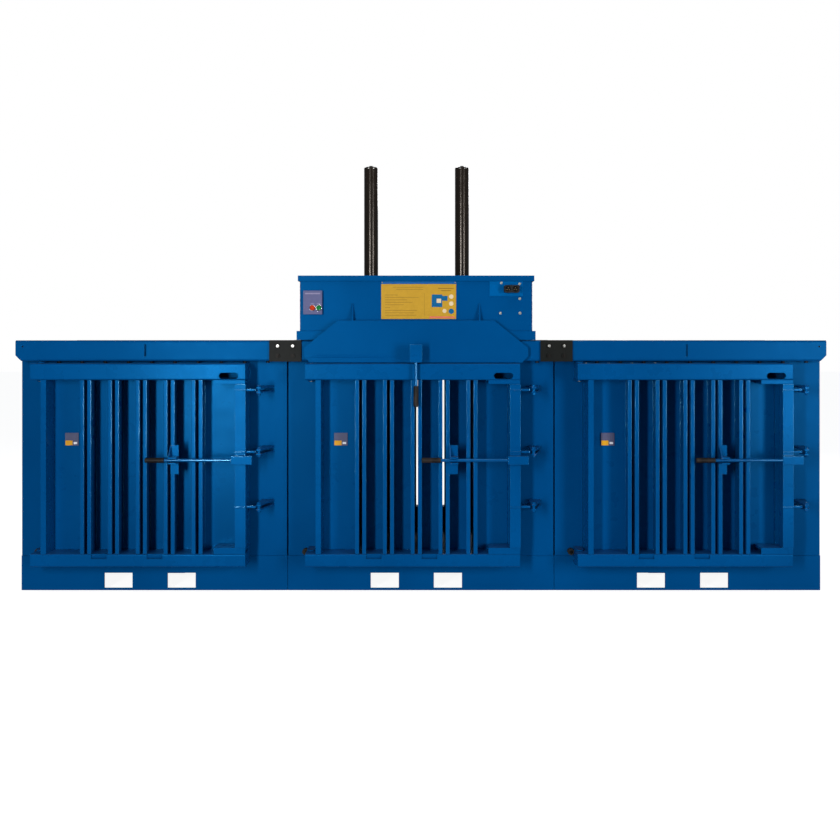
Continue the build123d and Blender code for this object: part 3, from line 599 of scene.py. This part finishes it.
print_lift = 0.0004
plate_from_slat = 0.062
plate_width = 0.076
plate_height = 0.072
plate_sheet = 0.002
plate_middle = 0.866
plate_front = slat_web - 0.008
plate_back = plate_front + plate_sheet
plate_low = plate_middle - plate_height / 2
plate_high = plate_middle + plate_height / 2
block_top = plate_height * 0.40
amber_field = (0.002, plate_width * 0.56, 0.002, block_top)
white_field = (plate_width * 0.64, plate_width * 0.90, 0.009, block_top - 0.008)
spacer_inset = 0.012
spacer_radius = 0.004
plate_finishes = (
    flat_finish("door_plate_grey", (0.085, 0.09, 0.17), roughness=0.45, gloss=0.2),
    flat_finish("door_plate_amber", (0.76, 0.36, 0.01), roughness=0.45, gloss=0.2),
    flat_finish("door_plate_white", (0.80, 0.80, 0.82), roughness=0.42),
)
for side in sides:
    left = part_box(f"door_slats_{side}")[0][0] + plate_from_slat
    shape = bmesh.new()
    add_slab(
        shape, (left, plate_front, plate_low), (left + plate_width, plate_back, plate_high),
        bevel=0.0004,
    )
    for x in (left + spacer_inset, left + plate_width - spacer_inset):
        add_round(shape, (x, plate_middle), spacer_radius, plate_back, slat_web)
    for paint, (x0, x1, z0, z1) in enumerate((amber_field, white_field), 1):
        add_slab(
            shape, (left + x0, plate_front - print_lift, plate_low + z0),
            (left + x1, plate_front, plate_low + z1), paint=paint,
        )
    settle(shaped(f"door_plate_{side}", shape), f"door_{side}", "grey_panel", *plate_finishes)


# The door locks: square tubes with three claws each, turned by a lever, and the keepers' plates
# on the posts. A thin collar marks each claw's height on the tube. Steel slides on steel here, so
# the paint is gone from the edges and the claws, and the folds are polished.
lock_paint = painted(
    "lock_blue", roughness=0.28, dust_and_top_light=0.15, edge=0.004, colour=(0.0, 0.070, 0.242), chip=0.3,
    beneath=(0.36, 0.38, 0.42), gloss=door_gloss, rubbed=True,
)
keeper_paint = painted(
    "keeper_blue", roughness=0.26, dust_and_top_light=0.2, edge=0.002, colour=(0.0, 0.064, 0.225), chip=0.42,
    beneath=(0.40, 0.42, 0.46), gloss=0.4,
)
finish_nodes("lock_bar", lock_paint)
finish_nodes("keepers", keeper_paint)
finish_nodes("lever_catch", keeper_paint)

claw_levels = (0.503, 0.807, 1.150)
claw_reach = 0.090
lock_half = 0.030
lock_front = -0.675
collar_half = 0.005
collar_sheet = 0.0025
for side in sides:
    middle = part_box(f"lock_bar_{side}")[1][0] - claw_reach
    shape = bmesh.new()
    for z in claw_levels:
        add_slab(
            shape, (middle - lock_half - 0.002, lock_front - collar_sheet, z - collar_half),
            (middle + lock_half, lock_front + 0.001, z + collar_half), bevel=0.0008,
        )
    settle(shaped(f"claw_collars_{side}", shape), f"lock_{side}", "blue_paint", lock_paint)


def bolt_tree():
    """Geometry nodes: a hexagon bolt head on a washer at each point of the carrier."""
    takes = {
        "Geometry": "Geometry", "Head Radius": "Float", "Head Height": "Float",
        "Washer Radius": "Float", "Washer Height": "Float", "Turn": "Vector",
    }
    tree, sockets, take, give = new_tree(
        "hexagon_bolt", "GeometryNodeTree", takes, {"Geometry": "Geometry"},
    )
    head = add_node(tree, "GeometryNodeMeshCylinder", {
        "Vertices": 6, "Radius": take["Head Radius"], "Depth": take["Head Height"],
    })
    ring = add_node(tree, "GeometryNodeMeshCylinder", {
        "Vertices": 20, "Radius": take["Washer Radius"], "Depth": take["Washer Height"],
    })
    crown = add_node(tree, "GeometryNodeMeshCone", {
        "Vertices": 16,
        "Radius Bottom": maths(tree, "MULTIPLY", take["Head Radius"], 0.84),
        "Radius Top": maths(tree, "MULTIPLY", take["Head Radius"], 0.74),
        "Depth": maths(tree, "MULTIPLY", take["Head Height"], 0.12),
    })

    def raised(mesh, height, share):
        """A shape lifted by a share of this height."""
        lift = maths(tree, "MULTIPLY", take[height], share)
        place = add_node(tree, "ShaderNodeCombineXYZ", {"Z": lift}).outputs["Vector"]
        return add_node(tree, "GeometryNodeTransform", {
            "Geometry": mesh, "Translation": place,
        }).outputs["Geometry"]

    stack = add_node(tree, "GeometryNodeJoinGeometry", {})
    on_head = raised(head.outputs["Mesh"], "Head Height", 0.5)
    on_crown = raised(crown.outputs["Mesh"], "Head Height", 1.0)
    for mesh, share in ((on_head, 1.0), (ring.outputs["Mesh"], 0.5), (on_crown, 1.0)):
        feed(stack, {0: raised(mesh, "Washer Height", share)})
    copies = copied(tree, take["Geometry"], stack.outputs["Geometry"], Rotation=take["Turn"])
    spin_range = {"Max": 1.0, "Seed": 3}
    chance = add_node(tree, "FunctionNodeRandomValue", spin_range, data_type="FLOAT")
    spin = add_node(tree, "ShaderNodeCombineXYZ", {"Z": chance.outputs["Value"]})
    spun = add_node(tree, "GeometryNodeRotateInstances", {
        "Instances": copies, "Rotation": spin.outputs["Vector"],
    })
    ended(tree, give, spun.outputs["Instances"], smooth=False)
    return tree, sockets


hexagon_bolt = bolt_tree()
to_front = (math.radians(90), 0.0, 0.0)
to_back = (math.radians(-90), 0.0, 0.0)
downward = (math.radians(180), 0.0, 0.0)
upward = (0.0, 0.0, 0.0)
zinc_plate = bare_metal(
    "zinc_plate", (0.50, 0.50, 0.47), roughness=0.36, grain_size=260.0, grain_depth=0.0002,
)


def bolted(name, points, turn, body, radius, height, slot="zinc", material=zinc_plate):
    """Hexagon bolt heads at these places, their heads this way."""
    piece = grown(name, points, [], hexagon_bolt, {
        "Head Radius": radius, "Head Height": height, "Washer Radius": radius * 1.18,
        "Washer Height": height * 0.2, "Turn": turn,
    })
    settle(piece, body, slot, material)


claw_half = 0.006
claw_gap = 0.002
keeper_sheet = 0.008
stack_half = claw_half + claw_gap + keeper_sheet
pin_inset = 0.012
claw_root_reach = 0.060
claw_back = -0.660
claw_front = -0.630
for side in sides:
    low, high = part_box(f"keepers_{side}")
    pin_x = low[0] + pin_inset
    pin_y = low[1] + pin_inset
    for row, way, turn in (("upper", 1, upward), ("lower", -1, downward)):
        points = [(pin_x, pin_y, z + way * stack_half) for z in claw_levels]
        bolted(
            f"keeper_nuts_{row}_{side}", points, turn, "root", radius=0.011, height=0.009,
            slot="blue_paint", material=keeper_paint,
        )
    keeper_left = low[0] + 0.002
    keeper_right = high[0] - 0.002
    claw_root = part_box(f"lock_bar_{side}")[1][0] - claw_root_reach
    keeper_runs = []
    claw_runs = []
    for z in claw_levels:
        for level in (z - stack_half, z + stack_half):
            keeper_runs.append((
                (keeper_left, chamber_front, level), (keeper_right, chamber_front, level),
            ))
        for level in (z - claw_half, z + claw_half):
            claw_runs.append(((claw_root, claw_back, level), (claw_root, claw_front, level)))
    welded(f"keeper_welds_{side}", keeper_runs, "root")
    welded(f"claw_welds_{side}", claw_runs, f"lock_{side}", radius=0.0028)


# The levers' grips: moulded rubber sleeves, pushed on the rods' ends, with raised rings that a
# hand holds. The rubber has a fine grain and holds a little pale dust.
def moulded(name, colour, worn, roughness, grain_size, grain_depth, gloss=0.5):
    """A moulded rubber or plastic, worn to a second colour in patches."""
    material, tree, shader, place = fresh(name)
    grain = noise(tree, place, grain_size, 3.0)
    patch = noise(tree, place, 22.0, 5.0)
    worn_share = ranged(tree, patch, (0.45, 0.75))
    rough_range = (roughness * 0.8, min(1.0, roughness * 1.3))
    feed(shader, {
        "Base Color": mixed(tree, worn_share, opaque(colour), opaque(worn)),
        "Roughness": ranged(tree, patch, to_range=rough_range),
        "Normal": bumped(tree, grain, 0.5, grain_depth).outputs["Normal"],
        "Specular IOR Level": gloss,
    })
    return material


def ring_tree():
    """Geometry nodes: raised rings at a pitch along the carrier's edge."""
    takes = {
        "Geometry": "Geometry", "Radius": "Float", "Thickness": "Float", "Pitch": "Float",
        "Turn": "Vector",
    }
    tree, sockets, take, give = new_tree(
        "grip_rings", "GeometryNodeTree", takes, {"Geometry": "Geometry"},
    )
    circle = "GeometryNodeCurvePrimitiveCircle"
    hoop = add_node(tree, circle, {"Resolution": 28, "Radius": take["Radius"]})
    wire = add_node(tree, circle, {"Resolution": 6, "Radius": take["Thickness"]})
    ring = add_node(tree, "GeometryNodeCurveToMesh", {
        "Curve": hoop.outputs["Curve"], "Profile Curve": wire.outputs["Curve"],
    })
    copies = copied(tree, spaced(tree, take), ring.outputs["Mesh"], Rotation=take["Turn"])
    ended(tree, give, copies, smooth=True)
    return tree, sockets


grip_rings = ring_tree()
grip_rubber = moulded(
    "grip_rubber", (0.010, 0.009, 0.009), (0.04, 0.027, 0.021), roughness=0.46, grain_size=700.0,
    grain_depth=0.0003, gloss=0.16,
)
grip_margin = 0.014


def ringed(name, grip, axis, turn, body):
    """A grip's raised rings along this axis of it, but for a margin at each end."""
    low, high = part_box(grip)
    start = middle_of(grip)
    end = middle_of(grip)
    start[axis] = low[axis] + grip_margin
    end[axis] = high[axis] - grip_margin
    cross = 2 if axis == 0 else 0
    piece = grown(name, [start, end], [(0, 1)], grip_rings, {
        "Radius": (high[cross] - low[cross]) / 2, "Thickness": 0.0013, "Pitch": 0.0065,
        "Turn": turn,
    })
    settle(piece, body, "black_rubber", grip_rubber)


across = (0.0, math.radians(90), 0.0)
finish_nodes("lock_grip", grip_rubber)
for side in sides:
    ringed(f"lock_grip_rings_{side}", f"lock_grip_{side}", 0, across, f"lock_{side}")


# The door buffers: turned rubber studs at the feet of the hinge posts, each held by a bolt of
# blackened steel through its middle.
finish_node("door_buffers", moulded(
    "buffer_rubber", (0.009, 0.009, 0.009), (0.025, 0.024, 0.022), roughness=0.6, grain_size=500.0,
    grain_depth=0.0003, gloss=0.2,
))
black_steel = bare_metal(
    "black_steel", (0.020, 0.019, 0.018), roughness=0.5, grain_size=240.0, grain_depth=0.0002,
)
buffer_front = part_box("door_buffers")[0][1]
buffer_z = middle_of("door_buffers")[2]
buffer_from_hinge = 0.040
buffer_places = [
    (middle_of(f"hinge_pins_{side}")[0] - buffer_from_hinge, buffer_front, buffer_z)
    for side in sides
]
bolted(
    "buffer_bolts", buffer_places, to_front, "root", radius=0.0075, height=0.005,
    material=black_steel,
)


# The rails that the head rolls on: three lengths of channel at the front and three at the back,
# with black plates bolted over the joints, a row of bolts up through the flange and thin plates
# across the ends. The wheels keep a bright path on the flange.
rail_paint = painted("rail_blue", roughness=0.32, dust_and_top_light=0.3, edge=0.003, chip=0.12)
finish_node("front_rail", rail_paint)
finish_node("rear_rail", rail_paint)
finish_node("joint_plates", painted(
    "joint_plate_black", roughness=0.44, dust_and_top_light=0.05, edge=0.002, colour=(0.006, 0.008, 0.008),
    deep=(0.010, 0.011, 0.010), chip=0.16, beneath=(0.09, 0.09, 0.09), gloss=0.07,
    sheen=(1.0, 1.0, 1.0),
))
finish_node("rail_bolts", black_steel)
module_pitch = 1.518
joint_z = middle_of("joint_plates")[2]
joint_bolt_side = 0.042
joint_bolt_rise = 0.028
bolt_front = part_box("rail_bolts")[0][1]
# All joint bolts have one finish, but the bolts above the plates' middle are bright zinc and those
# below are blackened steel. This is painted light on the upper row and painted shade on the lower
# row.
lit_and_shaded_bolt_finishes = (("upper", joint_bolt_rise, zinc_plate), ("lower", -joint_bolt_rise, black_steel))
joint_bolt_x = [
    joint * module_pitch + aside
    for joint in (-0.5, 0.5) for aside in (-joint_bolt_side, joint_bolt_side)
]
for face_name, y, turn in (("front", bolt_front, to_front), ("rear", -bolt_front, to_back)):
    for row, rise, metal in lit_and_shaded_bolt_finishes:
        places = [(x, y, joint_z + rise) for x in joint_bolt_x]
        name = f"joint_bolts_{face_name}_{row}"
        bolted(name, places, turn, "root", radius=0.0068, height=0.004, material=metal)
# Four heads of the right chamber's rail bolts are bright zinc over the blackened row. This is a
# painted highlight where the lamps catch these bolts.
rail_bolt_pitch = 0.131
lit_bolt_count = 4
lit_bolt_start = module_pitch - 0.5895
rail_bolt_y = chamber_front - 0.062
rail_bolt_foot = 1.2975
lit_bolt_places = [
    (lit_bolt_start + n * rail_bolt_pitch, rail_bolt_y, rail_bolt_foot)
    for n in range(lit_bolt_count)
]
bolted("rail_bolt_highlights", lit_bolt_places, downward, "root", radius=0.0075, height=0.003)

rail_low, rail_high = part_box("front_rail")
rail_sheet = 0.0085
end_cap_inset = 0.006
end_cap_sheet = 0.003
end_cap_low = 1.343
end_cap_high = rail_high[2] - 0.0083
cap_outer = rail_low[1] + rail_sheet
cap_inner = chamber_front - 0.001
end_cap_x = (
    (rail_low[0] + end_cap_inset, rail_low[0] + end_cap_inset + end_cap_sheet),
    (rail_high[0] - end_cap_inset - end_cap_sheet, rail_high[0] - end_cap_inset),
)
for face_name, y0, y1 in (("front", cap_outer, cap_inner), ("rear", -cap_inner, -cap_outer)):
    shape = bmesh.new()
    for x0, x1 in end_cap_x:
        add_slab(shape, (x0, y0, end_cap_low), (x1, y1, end_cap_high), bevel=0.0008)
    settle(shaped(f"rail_end_caps_{face_name}", shape), "root", "blue_paint", rail_paint)


# The wheels: turned steel on through axles, in bearing blocks under the carriage. Rolling keeps
# their treads bright.
wheel_steel = bare_metal(
    "wheel_steel", (0.50, 0.50, 0.51), roughness=0.26, grain_size=120.0, grain_depth=0.0002,
)
finish_node("wheelset_left", wheel_steel)
finish_node("wheelset_right", wheel_steel)


# The press head: a carriage of plate, a welded box on it, and a lid like a shallow tray turned
# over, all gloss blue.
head_paint = painted("head_blue", roughness=0.33, dust_and_top_light=0.3, edge=0.004)
for name in ("carriage", "head_housing", "head_lid"):
    finish_node(name, head_paint)
(housing_left, housing_front, housing_foot), (housing_right, _, _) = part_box("head_housing")
housing_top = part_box("head_lid")[0][2]
housing_runs = []
for y in (housing_front, -housing_front):
    housing_runs.append(((housing_left, y, housing_foot), (housing_right, y, housing_foot)))
for x in (housing_left, housing_right):
    housing_runs.append(((x, housing_front, housing_foot), (x, -housing_front, housing_foot)))
    for y in (housing_front, -housing_front):
        housing_runs.append(((x, y, housing_foot), (x, y, housing_top)))
welded("housing_welds", housing_runs, "head", pitch=0.006)


# The apron: a plate over the rail that carries the head's lock, folded along its middle and
# welded to a shelf and two fins on the housing. Its fold is a soft ridge, highest in the middle.
finish_node("apron", head_paint)
apron_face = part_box("apron")[0][1]
head_middle = middle_of("head_housing")[0]
apron_top = 1.535
fin_offset = 0.355
fin_half = 0.005
fin_height = 0.094
fin_margin = 0.004
shelf_half = 0.434
apron_runs = [tuple(
    (head_middle + end, housing_front, apron_top) for end in (-shelf_half, shelf_half)
)]
for way in (-1, 1):
    for edge in (-fin_half, fin_half):
        x = head_middle + way * fin_offset + edge
        foot = (x, housing_front, apron_top)
        apron_runs.append((foot, (x, housing_front, apron_top + fin_height)))
        apron_runs.append((foot, (x, apron_face + fin_margin, apron_top)))
welded("apron_welds", apron_runs, "head", radius=0.0032)

fold_half_length = 0.255
fold_x = -0.390
fold_z = 1.336
fold_half = 0.010
fold_rise = 0.0022
fold_clear = 0.00005
fold_steps = 24
fold_strips = 8
shape = bmesh.new()
fold_rows = []
for n in range(fold_steps + 1):
    along = -1.0 + 2.0 * n / fold_steps
    ridge = fold_rise * (1.0 - along ** 4)
    row = []
    for m in range(fold_strips + 1):
        aside = -1.0 + 2.0 * m / fold_strips
        lift = ridge * (0.5 + 0.5 * math.cos(math.pi * aside))
        row.append(shape.verts.new((
            fold_x + along * fold_half_length, apron_face - lift - fold_clear,
            fold_z + aside * fold_half,
        )))
    fold_rows.append(row)
for row, following in zip(fold_rows, fold_rows[1:]):
    for m in range(fold_strips):
        corners = (row[m], following[m], following[m + 1], row[m + 1])
        shape.faces.new(corners).smooth = True
settle(shaped("apron_fold", shape), "head", "blue_paint", head_paint)


# The head's lock: a stud through the apron, a forged block and a hanging rod, painted blue, and a
# rubber grip at the rod's end like the doors' grips.
finish_node("head_lock_lever", lock_paint)
finish_node("head_lock_grip", grip_rubber)
ringed("head_lock_grip_rings", "head_lock_grip", 2, upward, "head_lock")


# The printed plate: a sheet of tinplate, riveted to the housing, in ochre with a blue head band,
# thin darker lines and plain fields of blue, pale and red.
sign_finishes = [
    flat_finish(f"plate_{name}", colour, roughness, gloss=0.12)
    for name, colour, roughness in (
        ("ochre", (0.51, 0.29, 0.022), 0.46), ("ochre_line", (0.30, 0.17, 0.015), 0.46),
        ("blue", (0.0, 0.105, 0.26), 0.42), ("pale", (0.70, 0.56, 0.36), 0.42),
        ("red", (0.66, 0.17, 0.09), 0.42), ("header_blue", (0.0, 0.10, 0.33), 0.42),
    )
]
line_paint, blue_field, pale_field, red_field, header_paint = range(1, 6)
sign_left = -0.2225
sign_right = 0.1975
sign_low = 1.544
sign_high = 1.740
header_high = 1.7545
sign_width = sign_right - sign_left
sign_height = sign_high - sign_low
sign_back = housing_front
sign_face = sign_back - 0.0016
sign_bevel = 0.0004
field_lift = 0.0003
upper_field_lift = 0.0005
sign = bmesh.new()
for z0, z1, paint in ((sign_low, sign_high, 0), (sign_high, header_high, header_paint)):
    add_slab(sign, (sign_left, sign_face, z0), (sign_right, sign_back, z1), sign_bevel, paint)


def field(x0, x1, z0, z1, paint, lift=field_lift):
    """A printed field of the plate, in shares of its width and height."""
    add_slab(
        sign, (sign_left + x0 * sign_width, sign_face - lift, sign_low + z0 * sign_height),
        (sign_left + x1 * sign_width, sign_face, sign_low + z1 * sign_height), paint=paint,
    )


def dot(x, z, radius, paint):
    """A printed disc of the plate, its place in shares of its width and height."""
    centre = (sign_left + x * sign_width, sign_low + z * sign_height)
    add_round(sign, centre, radius, sign_face - field_lift, sign_face, paint, 28)


line_height = 0.014
for x0, x1, z in (
    (0.16, 0.56, 0.90), (0.20, 0.56, 0.84), (0.05, 0.22, 0.68), (0.05, 0.50, 0.61),
    (0.05, 0.34, 0.54), (0.05, 0.42, 0.47), (0.05, 0.30, 0.40), (0.05, 0.12, 0.32),
    (0.05, 0.48, 0.24), (0.05, 0.44, 0.17), (0.05, 0.47, 0.10),
):
    field(x0, x1, z, z + line_height, line_paint)
field(0.574, 0.578, 0.10, 0.74, line_paint)
field(0.675, 0.815, 0.34, 0.70, blue_field)
field(0.815, 0.885, 0.52, 0.66, blue_field)
field(0.74, 0.80, 0.46, 0.58, pale_field, upper_field_lift)
field(0.76, 0.97, 0.86, 0.89, line_paint)
field(0.80, 0.93, 0.80, 0.825, line_paint)
dot(0.935, 0.64, 0.0125, pale_field)
dot(0.935, 0.44, 0.0125, pale_field)
dot(0.845, 0.23, 0.0115, pale_field)
dot(0.935, 0.22, 0.0150, blue_field)
field(0.645, 0.985, 0.02, 0.075, red_field)
settle(shaped("printed_plate", sign), "head", "grey_panel", *sign_finishes)


def studs(name, xs, zs, radius, face, height, segments, slot, material):
    """Small round heads on the head's front at each of these places."""
    shape = bmesh.new()
    for x in xs:
        for z in zs:
            add_round(shape, (x, z), radius, face - height, face, segments=segments)
    settle(shaped(name, shape), "head", slot, material)


rivet_inset = 0.006
studs(
    "printed_plate_rivets", (sign_left + rivet_inset, sign_right - rivet_inset),
    (sign_low + rivet_inset, header_high - 0.005), 0.0024, sign_face, 0.0012, 16, "zinc",
    sign_finishes[0],
)


# The control panel: a shallow box in purple-grey enamel, screwed to the housing, with a red and
# a green push button in chromed bezels, and a plain pale bar along its top.
panel_enamel = flat_finish("panel_enamel", (0.100, 0.105, 0.225), roughness=0.48, gloss=0.15)
panel_pale = flat_finish("panel_pale_bar", (0.24, 0.22, 0.36), roughness=0.46, gloss=0.15)
bezel_chrome = bare_metal(
    "bezel_chrome", (0.72, 0.72, 0.74), roughness=0.16, grain_size=200.0, grain_depth=0.00005,
)
finish_node("control_panel", panel_enamel)
panel_low, panel_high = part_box("control_panel")
panel_face = panel_low[1]
bar_inset = 0.010
bar_low = panel_high[2] - 0.020
bar_high = panel_high[2] - 0.013
bars = [(panel_low[0] + bar_inset, panel_high[0] - bar_inset, bar_low, bar_high)]
button_bar_half = 0.009
button_bar_rise = 0.007
button_bar_height = 0.004
buttons = ("stop_button", "start_button")
for name in buttons:
    x = middle_of(name)[0]
    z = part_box(name)[1][2] + button_bar_rise
    bars.append((x - button_bar_half, x + button_bar_half, z, z + button_bar_height))
shape = bmesh.new()
for x0, x1, z0, z1 in bars:
    add_slab(shape, (x0, panel_face - print_lift, z0), (x1, panel_face, z1))
settle(shaped("panel_fields", shape), "head", "grey_panel", panel_pale)
bezel_steps = 40
bezel_profile = (
    (0.0150, 0.0), (0.0150, 0.0032), (0.0160, 0.0040), (0.0172, 0.0032), (0.0176, 0.0),
)
angles = [2.0 * math.pi * n / bezel_steps for n in range(bezel_steps)]
for name in buttons:
    x, _, z = middle_of(name)
    shape = bmesh.new()
    rims = []
    for radius, lift in bezel_profile:
        rims.append([
            shape.verts.new((
                x + radius * math.cos(turn), panel_face - lift, z + radius * math.sin(turn),
            ))
            for turn in angles
        ])
    for rim, wider in zip(rims, rims[1:]):
        for n in range(bezel_steps):
            after = (n + 1) % bezel_steps
            shape.faces.new((rim[n], rim[after], wider[after], wider[n])).smooth = True
    bmesh.ops.recalc_face_normals(shape, faces=shape.faces)
    settle(shaped(f"{name}_bezel", shape), "head", "chrome", bezel_chrome)
screw_inset = 0.008
studs(
    "panel_screws", (panel_low[0] + screw_inset, panel_high[0] - screw_inset),
    (panel_low[2] + screw_inset, panel_high[2] - screw_inset), 0.0032, panel_face, 0.0016, 20,
    "grey_panel", panel_enamel,
)
for name, tone, colour, worn in (
    ("stop_button", "red", (0.46, 0.03, 0.004), (0.50, 0.04, 0.006)),
    ("start_button", "green", (0.003, 0.15, 0.03), (0.005, 0.17, 0.036)),
):
    finish_node(name, moulded(
        f"{tone}_button_plastic", colour, worn, roughness=0.36, grain_size=300.0,
        grain_depth=0.00002, gloss=0.05,
    ))


# The service plate and the power inlet: a painted cover plate over the housing's opening, held
# by hexagon bolts, and on it a moulded pair of sockets with brass pins.
finish_node("service_plate", painted(
    "cover_blue", roughness=0.30, dust_and_top_light=0.1, edge=0.0015, colour=(0.0, 0.098, 0.32),
    deep=(0.0, 0.088, 0.29),
))
finish_node("power_inlet", moulded(
    "socket_plastic", (0.006, 0.006, 0.007), (0.012, 0.012, 0.012), roughness=0.40,
    grain_size=900.0, grain_depth=0.0002, gloss=0.2,
))
service_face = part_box("service_plate")[0][1]
for name, y, places in (
    ("service_bolts", service_face, ((0.451, 1.746), (0.553, 1.741))),
    ("housing_bolts", housing_front, ((0.554, 1.658), (0.446, 1.577), (0.556, 1.577))),
):
    bolted(name, [(x, y, z) for x, z in places], to_front, "head", radius=0.0066, height=0.006)
inlet_x, _, inlet_z = middle_of("power_inlet")
socket_offset = 0.020
socket_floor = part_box("power_inlet")[0][1] + 0.022
pin_length = 0.012
pin_radius = 0.0018
pin_circle = 0.0075
shape = bmesh.new()
for x in (inlet_x - socket_offset, inlet_x + socket_offset):
    for turn in (90, 210, 330):
        angle = math.radians(turn)
        centre = (x + pin_circle * math.cos(angle), inlet_z + pin_circle * math.sin(angle))
        add_round(shape, centre, pin_radius, socket_floor - pin_length, socket_floor, segments=12)
pin_brass = bare_metal(
    "pin_brass", (0.75, 0.58, 0.33), roughness=0.3, grain_size=240.0, grain_depth=0.0002,
)
settle(shaped("inlet_pins", shape), "head", "zinc", pin_brass)


# The hydraulic cylinders: drawn tube in gloss black with a turned cap, a boss and two bleed screws,
# welded to a square flange, and rods of hard chrome. A film of oil browns the paint, and it
# mirrors the lamps as narrow upright lines.
cylinder_black = painted(
    "cylinder_black", roughness=0.20, dust_and_top_light=0.05, edge=0.0, colour=(0.010, 0.007, 0.005),
    deep=(0.014, 0.010, 0.007), peel_size=60.0, peel_depth=0.000004, gloss=0.38,
    sheen=(1.0, 0.9, 0.8),
)
finish_node("piston_rods", bare_metal(
    "hard_chrome", (0.80, 0.80, 0.82), roughness=0.08, grain_size=90.0, grain_depth=0.00003,
))


def turned(shape, rings, smooth):
    """A closed ring of faces from rings of points, as a lathe leaves them."""
    loops = [[shape.verts.new(point) for point in ring] for ring in rings]
    count = len(loops[0])
    faces = []
    for loop, following in zip(loops, loops[1:] + loops[:1]):
        for n in range(count):
            after = (n + 1) % count
            face = shape.faces.new((loop[n], loop[after], following[after], following[n]))
            face.smooth = smooth
            faces.append(face)
    bmesh.ops.recalc_face_normals(shape, faces=faces)


round_steps = 64
angles = [2.0 * math.pi * n / round_steps for n in range(round_steps)]
barrel_radius = 0.0428
barrel_bore = 0.034
rod_hole = 0.02255
boss_radius = 0.011
axis_hole = 0.0005
ring_step = 0.004
flange_rise = 0.018
gland_rise = 0.040
shoulder_drop = 0.012
cap_depth = 0.014
bleed_screw_y = -0.0385
bleed_screw_drop = 0.007
bleed_screw_x = (-0.013, 0.017)
flange_bolt_offsets = (-0.052, 0.052)
for side in ("left", "right"):
    low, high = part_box(f"cylinder_{side}")
    x = middle_of(f"cylinder_{side}")[0]
    half = high[0] - x
    flange_z = low[2] + flange_rise
    gland_z = low[2] + gland_rise
    shoulder_z = high[2] - shoulder_drop
    cap_floor = shoulder_z - cap_depth
    profile = (
        (barrel_radius, flange_z), (barrel_radius, flange_z + ring_step),
        (barrel_radius, shoulder_z - ring_step), (barrel_radius, shoulder_z - 0.002),
        (barrel_radius - 0.0006, shoulder_z - 0.0006), (barrel_radius - 0.002, shoulder_z),
        (0.030, shoulder_z + 0.0045), (boss_radius + 0.001, shoulder_z + 0.006),
        (boss_radius, shoulder_z + 0.0065), (boss_radius, high[2] - 0.001),
        (boss_radius - 0.001, high[2]), (axis_hole, high[2]), (axis_hole, cap_floor),
        (barrel_bore, cap_floor), (barrel_bore, gland_z), (rod_hole, gland_z),
        (rod_hole, flange_z),
    )
    square = [half / max(abs(math.cos(turn)), abs(math.sin(turn))) for turn in angles]
    hole = [rod_hole] * round_steps
    flange = ((square, low[2]), (square, flange_z), (hole, flange_z), (hole, low[2]))
    tube = bmesh.new()
    for rings, smooth in (
        ([([radius] * round_steps, z) for radius, z in profile], True), (flange, False),
    ):
        turned(tube, [
            [
                (x + far * math.cos(turn), far * math.sin(turn), z)
                for far, turn in zip(reach, angles)
            ]
            for reach, z in rings
        ], smooth)
    barrel = shaped(f"cylinder_barrel_{side}", tube)
    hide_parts(f"cylinder_{side}")
    settle(barrel, "head", "black_gloss", cylinder_black)
    screws = [(x + dx, bleed_screw_y, shoulder_z - bleed_screw_drop) for dx in bleed_screw_x]
    bolted(f"bleed_screws_{side}", screws, to_front, "head", radius=0.0042, height=0.004)
    places = [(x + dx, dy, flange_z) for dx in flange_bolt_offsets for dy in flange_bolt_offsets]
    bolted(f"flange_bolts_{side}", places, upward, "head", radius=0.0095, height=0.008)


# The platen: thick plate with welded ribs, in the machine's blue. Pressed cardboard and film keep
# its underside scuffed.
finish_node("platen", painted("platen_blue", roughness=0.40, dust_and_top_light=0.35, edge=0.004, chip=0.30))


# The oil tank and motor inside the head: a welded tank in grey enamel and a cast motor body.
finish_node("power_pack", painted(
    "tank_grey", roughness=0.4, dust_and_top_light=0.4, edge=0.003, colour=(0.26, 0.27, 0.28),
    deep=(0.2, 0.21, 0.22), sheen=(1.0, 1.0, 1.0),
))
